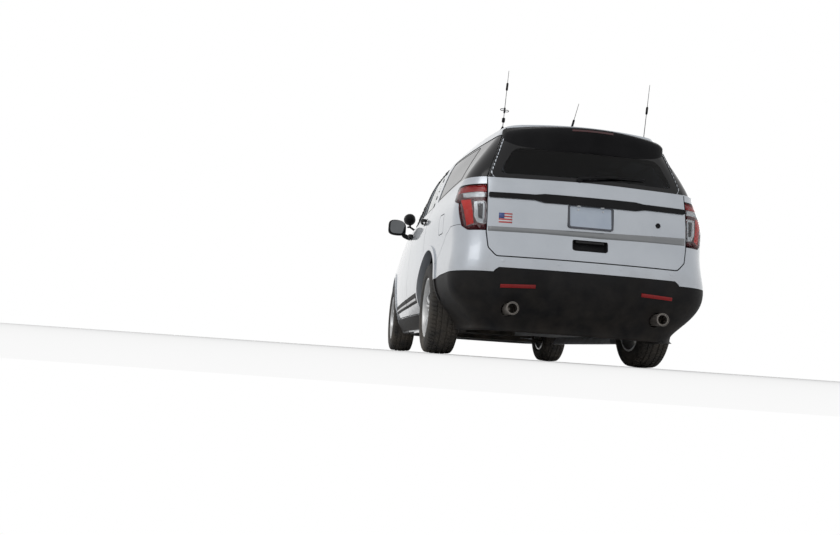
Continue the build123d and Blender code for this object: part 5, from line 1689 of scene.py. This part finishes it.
def add_front():
    """Nets behind the grille and the lower opening and over the cowl, fog lamps, strips, wipers and jets."""
    for name, x, box, cell, wire in NETS:
        netting(name, box, cell, wire, lambda y, z: (x, y, z))
    netting("cowl_net", ((-0.60, 1.262), (0.60, 1.322)), (0.020, 0.012), 0.0024, on_cowl)
    lamp = {"nodes": ("head_lamps",), "thick": 0.004, "slot": "lamp_clear"}
    for side, sign in SIDES.items():
        add_fog_lamp(side, sign)
        bar = [(sign * u, v) for u, v in HEAD_LAMP_BAR]
        draped(f"head_lamp_bar_{side}", "body", bar, "front", material="lamp_clear", lift=-0.030, **lamp)
        draped(
            f"head_lamp_amber_{side}", "body", AMBER_STRIP, side, material="lamp_amber", lift=-0.022, **lamp,
        )
        name, place = f"washer_jet_{side}", (1.470, sign * 0.30)
        mounted(name, "hood", WASHER_JET, "top", place, ("hood",), "black_trim", 20, slot="black_trim")
    for number, (pivot_y, tip_y) in enumerate(WIPERS):
        add_wiper(number, pivot_y, tip_y)


# Cabin
FRONT_CARD = [(0.005, 0.430), (0.900, 0.430), (0.930, 0.700), (0.930, 1.150), (0.005, 1.172)]
REAR_CARD = [
    (-0.160, 0.430), (-0.640, 0.430), (-0.790, 0.640), (-0.880, 0.860), (-0.905, 1.190), (-0.160, 1.178),
]
# Each door's armrest from x to x and its height; the speaker's place; the inset panel's two ends
CARD_FITTINGS = {
    "front": ((0.12, 0.70), 0.850, (0.74, 0.560), (0.06, 0.80)),
    "rear": ((-0.74, -0.26), 0.860, (-0.36, 0.560), (-0.80, -0.22)),
}
CARD_THICK = 0.016
# An armrest's section: distance out of the card, height
ARMREST = [
    (0.012, -0.040), (0.012, 0.028), (0.046, 0.030), (0.064, 0.022), (0.068, 0.004), (0.054, -0.020),
    (0.030, -0.036),
]
CATCH_RADII = [0.004, 0.007, 0.009, 0.010, 0.010, 0.010, 0.009, 0.007, 0.004]
SPEAKER = [
    (0.010, 0.0), (0.010, 0.078), (0.021, 0.080), (0.026, 0.076), (0.024, 0.069), (0.0195, 0.066),
    (0.0205, 0.040), (0.022, 0.0),
]
# The slot that most of the cabin's pieces take
CABIN = {"slot": "cabin_plastic"}


def add_door_card(end, side, outline):
    """The inside of a door: card, inset panel, armrest, catch, speaker and pocket."""
    body, view = f"{end}_door_{side}", f"{side}_inside"
    nodes = (body,)
    (x0, x1), z, speaker_place, (inset_x0, inset_x1) = CARD_FITTINGS[end]
    card = rounded(outline, 0.03)
    draped(f"{body}_card", body, card, view, nodes, "cabin_plastic", 0.001, CARD_THICK, 0.05, 0.004, **CABIN)
    inset = rectangle(inset_x0, inset_x1, 0.900, 1.075, 0.03)
    lift = CARD_THICK + 0.001
    draped(f"{body}_inset", body, inset, view, nodes, "seat_side", lift, 0.007, 0.05, 0.003, **CABIN)
    seam_lift = lift + 0.0075
    outlined(f"{body}_inset_seam", body, inset, view, nodes, "seam_thread", 0.0012, seam_lift, "seat_fabric")
    sections = []
    for share in np.linspace(0, 1, 13):
        hit, out = surface_place(view, x0 + (x1 - x0) * share, z, nodes)
        size = min(1.0, 0.45 + 6 * min(share, 1 - share))
        sections.append(
            [hit + out * (0.012 + (d - 0.012) * size) + Vector((0, 0, h * size)) for d, h in ARMREST]
        )
    form(f"{body}_armrest", body, sections, "seat_side", level=1, **CABIN)
    catch = []
    for i, t in enumerate(np.linspace(0, 1, len(CATCH_RADII))):
        hit, out = surface_place(view, x1 - 0.05 - 0.11 * t, 0.990 + 0.014 * math.sin(math.pi * t), nodes)
        catch.append(hit + out * (0.028 + 0.012 * math.sin(math.pi * i / (len(CATCH_RADII) - 1))))
    tube(f"{body}_catch", body, catch, CATCH_RADII, "lamp_chrome", 10, **CABIN)
    mounted(f"{body}_speaker", body, SPEAKER, view, speaker_place, nodes, "cabin_grey", 48, **CABIN)
    pocket_x0, pocket_x1 = inset_x0 + 0.02, speaker_place[0] - (0.10 if end == "front" else 0.09)
    pocket = rounded([(pocket_x0, 0.475), (pocket_x1, 0.475), (pocket_x1, 0.620), (pocket_x0, 0.640)], 0.03)
    draped(f"{body}_pocket", body, pocket, view, nodes, "cabin_grey", lift, 0.014, 0.05, 0.005, **CABIN)


DASH = ("dashboard",)


def on_dash(name, outline, material, lift=0.0, thick=0.004, edge=0.0012):
    """A thin piece on the dashboard."""
    return draped(name, "body", outline, "dash", DASH, material, lift, thick, 0.03, edge, **CABIN)


def dash_rim(name, outline, radius, lift, material="cabin_grey"):
    """A bead on the dashboard."""
    return outlined(name, "body", outline, "dash", DASH, material, radius, lift, **CABIN)


VENT_LOW, VENT_HIGH = 0.955, 1.008
VENT_SLATS = 4
# Middle and half width of each vent
VENTS = [(0.660, 0.050), (0.165, 0.035), (-0.165, 0.035), (-0.660, 0.050)]


def add_vent(number, y, half):
    """An air vent: a rim round a dark mouth with slats."""
    mouth = rectangle(y - half, y + half, VENT_LOW, VENT_HIGH, 0.012)
    on_dash(f"vent_mouth_{number}", mouth, "screen_dark", 0.0, 0.003)
    dash_rim(f"vent_rim_{number}", mouth, 0.0035, 0.002)
    for row in range(VENT_SLATS):
        z = VENT_LOW + (VENT_HIGH - VENT_LOW) * (row + 1) / (VENT_SLATS + 1)
        slat = rectangle(y - half, y + half, z - 0.0022, z + 0.0022)
        on_dash(f"vent_slat_{number}_{row}", slat, "cabin_grey", 0.003, 0.004, 0.0006)


DIAL_RIM = [(0.003, 0.0345), (0.003, 0.0375), (0.007, 0.0375), (0.008, 0.0360), (0.007, 0.0345)]
DIAL_BOSS = [(0.003, 0.0), (0.003, 0.006), (0.009, 0.005), (0.010, 0.0)]
DASH_KNOB = [(0.0, 0.0), (0.0, 0.019), (0.004, 0.018), (0.016, 0.016), (0.019, 0.013), (0.018, 0.0)]
KEY_COLUMNS = 6
KEY_ROWS = (0.800, 0.850)


def add_dash():
    """Dials, a dark screen, vents, two rows of keys, knobs and a glove box."""
    cluster = rounded([(0.225, 0.952), (0.515, 0.952), (0.505, 1.035), (0.235, 1.035)], 0.03)
    on_dash("cluster_glass", cluster, "screen_dark", 0.0, 0.003)
    dash_rim("cluster_rim", cluster, 0.006, 0.003)
    for number, y in enumerate((0.305, 0.435)):
        hit, out = surface_place("dash", y, 0.994, DASH)
        turned(f"dial_rim_{number}", "body", DIAL_RIM, hit, out, "lamp_chrome", 40, closed=True, **CABIN)
        needle = [hit + out * 0.007, hit + out * 0.007 + Vector((0, 0.020, -0.016))]
        tube(f"dial_needle_{number}", "body", needle, [0.0016, 0.0006], "lamp_bright_red", 6, **CABIN)
        turned(f"dial_boss_{number}", "body", DIAL_BOSS, hit, out, "cabin_plastic", 20)
    screen = rectangle(-0.105, 0.105, 0.925, 1.020, 0.012)
    on_dash("screen", screen, "screen_dark", 0.0, 0.006, 0.002)
    dash_rim("screen_rim", screen, 0.004, 0.004)
    for row, z in enumerate(KEY_ROWS):
        for column in range(KEY_COLUMNS):
            y = -0.095 + 0.038 * column
            key = rectangle(y - 0.014, y + 0.014, z - 0.012, z + 0.012, 0.004)
            on_dash(f"dash_key_{row}_{column}", key, "cabin_grey", 0.0, 0.005)
    for side, sign in SIDES.items():
        place = (sign * 0.070, 0.893)
        mounted(f"dash_knob_{side}", "body", DASH_KNOB, "dash", place, DASH, "cabin_grey", 28, **CABIN)
    for number, (y, half) in enumerate(VENTS):
        add_vent(number, y, half)
    dash_rim("glove_box_seam", rectangle(-0.240, -0.700, 0.775, 0.915, 0.02), 0.0022, 0.0, "seal_rubber")
    on_dash("glove_box_latch", rectangle(-0.440, -0.500, 0.885, 0.903, 0.005), "cabin_grey", 0.0, 0.006)


def lofted_box(name, rows, material, power=4.5):
    """A rounded form along X: rows of x, half width, bottom, top."""
    sections = []
    for x, half, low, high in rows:
        sections.append(squarish((x, 0, (low + high) / 2), half, (high - low) / 2, power, count=28))
    return form(name, "body", sections, material, edge=0.003, **CABIN)


CONSOLE = [
    (-0.300, 0.086, 0.395, 0.600), (-0.290, 0.098, 0.392, 0.612), (0.10, 0.100, 0.392, 0.612),
    (0.30, 0.100, 0.392, 0.585), (0.552, 0.098, 0.392, 0.600),
]
CONSOLE_ARMREST = [
    (-0.295, 0.078, 0.610, 0.640), (-0.280, 0.090, 0.606, 0.650), (-0.10, 0.092, 0.606, 0.655),
    (0.060, 0.090, 0.606, 0.648), (0.075, 0.078, 0.610, 0.638),
]
CUP = [
    (-0.060, 0.0), (-0.060, 0.037), (0.004, 0.041), (0.008, 0.039), (0.005, 0.035), (-0.056, 0.033),
    (-0.058, 0.0),
]
GEAR_PLACE = (0.400, 0, 0.590)
GEAR_LEAN = (-0.1, 0, 1)
GEAR_BOOT = [
    (0.0, 0.0), (0.0, 0.052), (0.012, 0.050), (0.020, 0.036), (0.034, 0.026), (0.050, 0.016), (0.050, 0.0),
]
GEAR_ROD = [(0.03, 0.0), (0.03, 0.0075), (0.12, 0.007), (0.12, 0.0)]
GEAR_KNOB = [
    (0.100, 0.0), (0.102, 0.012), (0.115, 0.020), (0.140, 0.024), (0.160, 0.021), (0.168, 0.010),
    (0.169, 0.0),
]
# Each pedal: name, middle across, half width, bottom, top
PEDALS = [("brake", 0.345, 0.045, 0.385, 0.440), ("gas", 0.215, 0.026, 0.335, 0.450)]
PEDAL_X = (1.050, 1.053, 1.062)


def add_console():
    """The console between the front seats, with armrest, cup holders and gear lever, and the pedals."""
    lofted_box("console", CONSOLE, "cabin_plastic")
    lofted_box("console_armrest", CONSOLE_ARMREST, "seat_side", 3.0)
    for number, x in enumerate((0.160, 0.250)):
        turned(f"cup_holder_{number}", "body", CUP, (x, 0, 0.606), UP, "screen_dark", 36, **CABIN)
    turned("gear_boot", "body", GEAR_BOOT, GEAR_PLACE, UP, "seat_side", 32, **CABIN)
    turned("gear_rod", "body", GEAR_ROD, GEAR_PLACE, GEAR_LEAN, "steel", 16, **CABIN)
    turned("gear_knob", "body", GEAR_KNOB, GEAR_PLACE, GEAR_LEAN, "seat_side", 28, **CABIN)
    for name, y, half, low, high in PEDALS:
        middle, tall = (low + high) / 2, (high - low) / 2
        pad = []
        for x in PEDAL_X:
            centre = (x, y, middle + (x - PEDAL_X[0]) * 0.5)
            pad.append(squarish(centre, half, tall, 5, along_v=(0.35, 0, 1), count=28))
        form(f"{name}_pedal", "body", pad, "seal_rubber", edge=0.002, **CABIN)
        stem = [(1.060, y, middle + 0.01), (1.095, y, 0.52), (1.105, y, 0.66), (1.100, y, 0.80)]
        tube(f"{name}_stem", "body", stem, 0.007, "chassis_metal", 8, slot="chassis_metal")


# Rings of the steering wheel's pad: distance out, size
STEERING_PAD = [(-0.030, 0.86), (-0.012, 1.0), (0.004, 0.98), (0.016, 0.86), (0.022, 0.62), (0.024, 0.2)]
STALK_RADII = [0.006, 0.006, 0.006, 0.006, 0.008, 0.009, 0.009, 0.006]


def add_wheel_pad():
    """A padded hub on the steering wheel, and two stalks behind it."""
    points = np.array([v.co for v in frame["nodes"]["steering_wheel"].data.vertices])
    rear = points[points[:, 0] < points[:, 0].min() + 0.25]
    low, high = rear[rear[:, 2].argmin()], rear[rear[:, 2].argmax()]
    middle = Vector((low + high) / 2)
    middle.y = SEAT_Y
    up = Vector(high - low)
    up.y = 0
    up.normalize()
    out = Vector((0, -1, 0)).cross(up).normalized()
    if out.x > 0:
        out = -out
    pad = []
    for lift, size in STEERING_PAD:
        pad.append(squarish(middle + out * lift, 0.082 * size, 0.066 * size, 3.2, along_v=up, count=36))
    form("steering_pad", "steering_wheel", pad, "seat_side", level=1, **CABIN)
    for side, sign in SIDES.items():
        base = middle - out * 0.10
        tip = base + Vector((0, sign * 0.155, 0.012)) + out * 0.012
        rod = [base.lerp(tip, t) for t in np.linspace(0.2, 1, len(STALK_RADII))]
        tube(f"stalk_{side}", "body", rod, STALK_RADII, "cabin_grey", 10, **CABIN)


DOME_LAMP = [(0.004, 0.0), (0.004, 0.060), (0.012, 0.058), (0.018, 0.046), (0.020, 0.0)]
INSIDE_MIRROR_Z = 1.545
# x, half width, half height
INSIDE_MIRROR = [(0.560, 0.108, 0.030), (0.566, 0.112, 0.034), (0.584, 0.104, 0.030), (0.594, 0.060, 0.018)]
INSIDE_MIRROR_GLASS = [(0.5585, 0.104, 0.027), (0.5605, 0.104, 0.027)]


def on_floor(name, outline, material, lift, thick):
    """A carpet or mat on the floor."""
    draped(
        name, "body", outline, "floor_inside", ("floor_pan",), material, lift, thick, 0.08, 0.002,
        "liner_plastic",
    )


def add_inside_mirror():
    """The mirror on the windshield: housing, glass and stalk."""
    housing, glass = (
        [squarish((x, 0.0, INSIDE_MIRROR_Z), half, tall, 3.0, count=32) for x, half, tall in rows]
        for rows in (INSIDE_MIRROR, INSIDE_MIRROR_GLASS)
    )
    form("inside_mirror", "body", housing, "cabin_plastic", edge=0.002, **CABIN)
    form("inside_mirror_glass", "body", glass, "mirror_glass", edge=0.0004, **CABIN)
    hit, _ = surface_place("front", 0.0, 1.600, ("windshield",))
    stalk = [Vector((0.590, 0, 1.548)), Vector((0.600, 0, 1.575)), hit + Vector((-0.007, 0, 0))]
    tube("inside_mirror_stalk", "body", stalk, [0.009, 0.008, 0.014], "cabin_plastic", 12, **CABIN)


def add_linings():
    """Carpets, headliner, visors, dome lamp, load space trims, tailgate lining and inside mirror."""
    roof = ("roof_panel",)
    for side, sign in SIDES.items():
        carpet = [(1.180, 0.150), (1.180, 0.640), (0.560, 0.800), (-0.480, 0.800), (-0.480, 0.150)]
        on_floor(f"carpet_{side}", [(x, sign * y) for x, y in carpet], "carpet", 0.0, 0.007)
        mat = rounded(
            [(0.98, sign * 0.20), (0.98, sign * 0.60), (0.46, sign * 0.62), (0.46, sign * 0.18)], 0.05,
        )
        on_floor(f"floor_mat_{side}", mat, "seal_rubber", 0.007, 0.005)
        wall = rounded([(-1.260, 0.900), (-2.180, 0.900), (-2.200, 1.200), (-1.240, 1.200)], 0.04)
        view, nodes = f"{side}_inside", ("side_panels",)
        draped(
            f"load_wall_{side}", "body", wall, view, nodes, "cabin_plastic", 0.001, 0.006, 0.05, 0.002,
            **CABIN,
        )
        corners = [(0.210, 0.120), (0.400, 0.120), (0.400, 0.490), (0.210, 0.500)]
        visor = rounded([(x, sign * y) for x, y in corners], 0.03)
        name = f"sun_visor_{side}"
        draped(name, "body", visor, "roof_inside", roof, "headliner", 0.012, 0.014, 0.06, 0.005, **CABIN)
    load = rounded([(-1.190, -0.540), (-1.190, 0.540), (-2.380, 0.540), (-2.380, -0.540)], 0.05)
    on_floor("load_carpet", load, "carpet", 0.0, 0.007)
    lining = rounded([(0.440, -0.520), (0.440, 0.520), (-2.020, 0.520), (-2.020, -0.520)], 0.06)
    draped("headliner", "body", lining, "roof_inside", roof, "headliner", 0.001, 0.006, 0.08, 0.002, **CABIN)
    place = (-0.100, 0.0)
    mounted("dome_lamp", "body", DOME_LAMP, "roof_inside", place, roof, "lamp_clear", 40, slot="lamp_clear")
    gate = rounded([(-0.580, 0.740), (0.580, 0.740), (0.600, 1.215), (-0.600, 1.215)], 0.05)
    trim = {"material": "cabin_plastic", "lift": 0.001, "thick": 0.006, "step": 0.05, "edge": 0.002}
    draped("gate_lining", "tailgate", gate, "rear_inside", ("tailgate",), **trim, **CABIN)
    add_inside_mirror()


def add_cabin():
    """Everything inside except the seats."""
    for side in SIDES:
        add_door_card("front", side, FRONT_CARD)
        add_door_card("rear", side, REAR_CARD)
    add_dash()
    add_console()
    add_wheel_pad()
    add_linings()


# Camera, floor and light
FAR = 300


def add_camera():
    """The camera of the photograph: its place, its turn from yaw, pitch and roll, and its lens."""
    yaw, pitch, roll = (math.radians(a) for a in (CAMERA_YAW, CAMERA_PITCH, CAMERA_ROLL))
    ahead = Vector((math.cos(pitch) * math.cos(yaw), math.cos(pitch) * math.sin(yaw), math.sin(pitch)))
    level = ahead.cross(Vector(UP)).normalized()
    over = level.cross(ahead)
    right = math.cos(roll) * level + math.sin(roll) * over
    up = math.cos(roll) * over - math.sin(roll) * level
    camera = bpy.data.cameras.new("camera")
    camera.sensor_width = SENSOR_WIDTH
    camera.lens = FOCAL_PIXELS * SENSOR_WIDTH / PHOTO_WIDTH
    camera.clip_end = FAR + 100
    thing = bpy.data.objects.new("camera", camera)
    bpy.context.scene.collection.objects.link(thing)
    turn = Matrix((right, up, -ahead)).transposed().to_4x4()
    thing.matrix_world = Matrix.Translation(CAMERA_PLACE) @ turn
    bpy.context.scene.camera = thing


def seen_ray(tree):
    """1 for rays that reach the eye, also by a mirror or through glass, and 0 for rays that only light."""
    path = node(tree, "LightPath")
    share = path.outputs["Is Camera Ray"]
    for other in ("Is Glossy Ray", "Is Transmission Ray"):
        share = node(tree, "Math", {0: share, 1: path.outputs[other]}, operation="MAXIMUM").outputs[0]
    return share


# Distances from the car between which the floor turns into the white backdrop
FADE_START, FADE_END = 4.5, 9.0


def add_floor():
    """A pale floor that runs into a white backdrop and keeps the shadow."""
    mesh = bpy.data.meshes.new("floor")
    corners = [(-FAR, -FAR, 0), (FAR, -FAR, 0), (FAR, FAR, 0), (-FAR, FAR, 0)]
    mesh.from_pydata(corners, [], [(0, 1, 2, 3)])
    floor = bpy.data.objects.new("floor", mesh)
    bpy.context.scene.collection.objects.link(floor)
    material = surface("floor_pale", (0.80, 0.80, 0.80), (0.82, 0.82, 0.82), 0.9, 0.05, "grain", 40.0, 0.0)
    floor.data.materials.append(material)
    tree = material.node_tree
    place = tree.nodes["Texture Coordinate"].outputs["Object"]
    away = node(tree, "VectorMath", {0: place}, operation="LENGTH").outputs["Value"]
    fade = times(tree, ranged(tree, away, FADE_START, FADE_END), seen_ray(tree))
    white = node(tree, "Emission", {"Strength": 1.0})
    blend = node(
        tree, "MixShader", {0: fade, 1: tree.nodes["Principled BSDF"].outputs[0], 2: white.outputs[0]},
    )
    tree.links.new(blend.outputs[0], tree.nodes["Material Output"].inputs["Surface"])


# The world's strength on the car, and as the eye and reflections see it
WORLD_LIGHT, WORLD_SEEN = 0.55, 1.0
LAMP_SIZE = 5.0
# Each lamp: name, place, what it points at, watts
LAMPS = [
    ("key", (-6.0, 6.5, 6.5), (-1.0, 0.0, 0.8), 190),
    ("fill", (6.0, -6.0, 5.0), (0.0, 0.0, 0.8), 100),
]


def add_light():
    """A white world for the eye and in reflections, a soft one on the car, and two large soft lamps."""
    world = bpy.data.worlds.new("world")
    world.use_nodes = True
    tree = world.node_tree
    back = tree.nodes["Background"]
    back.inputs["Color"].default_value = (1, 1, 1, 1)
    strength = ranged(tree, seen_ray(tree), 0.0, 1.0, WORLD_LIGHT, WORLD_SEEN)
    tree.links.new(strength, back.inputs["Strength"])
    bpy.context.scene.world = world
    for name, place, aim, watts in LAMPS:
        lamp = bpy.data.lights.new(name, "AREA")
        lamp.size = LAMP_SIZE
        lamp.energy = watts
        obj = bpy.data.objects.new(name, lamp)
        bpy.context.scene.collection.objects.link(obj)
        turn = (Vector(aim) - Vector(place)).to_track_quat("-Z", "Y").to_matrix().to_4x4()
        obj.matrix_world = Matrix.Translation(place) @ turn


def paint_nodes():
    """Every CAD node in the finish of its slot."""
    for part in frame["record"]["subparts"]:
        paint(frame["nodes"][part["node"]], part["material_slot"])


make_materials()
paint_nodes()
add_wheels()
add_tail_lamps()
add_head_lamps()
add_glass()
add_doors_outside()
add_mirrors()
add_spot_lamp()
add_aerials()
add_spoiler()
add_tailgate()
add_rear_bumper()
add_front()
add_cabin()
add_front_seats()
add_rear_seat()
add_camera()
add_floor()
add_light()

bpy.context.scene.view_settings.view_transform = "Standard"
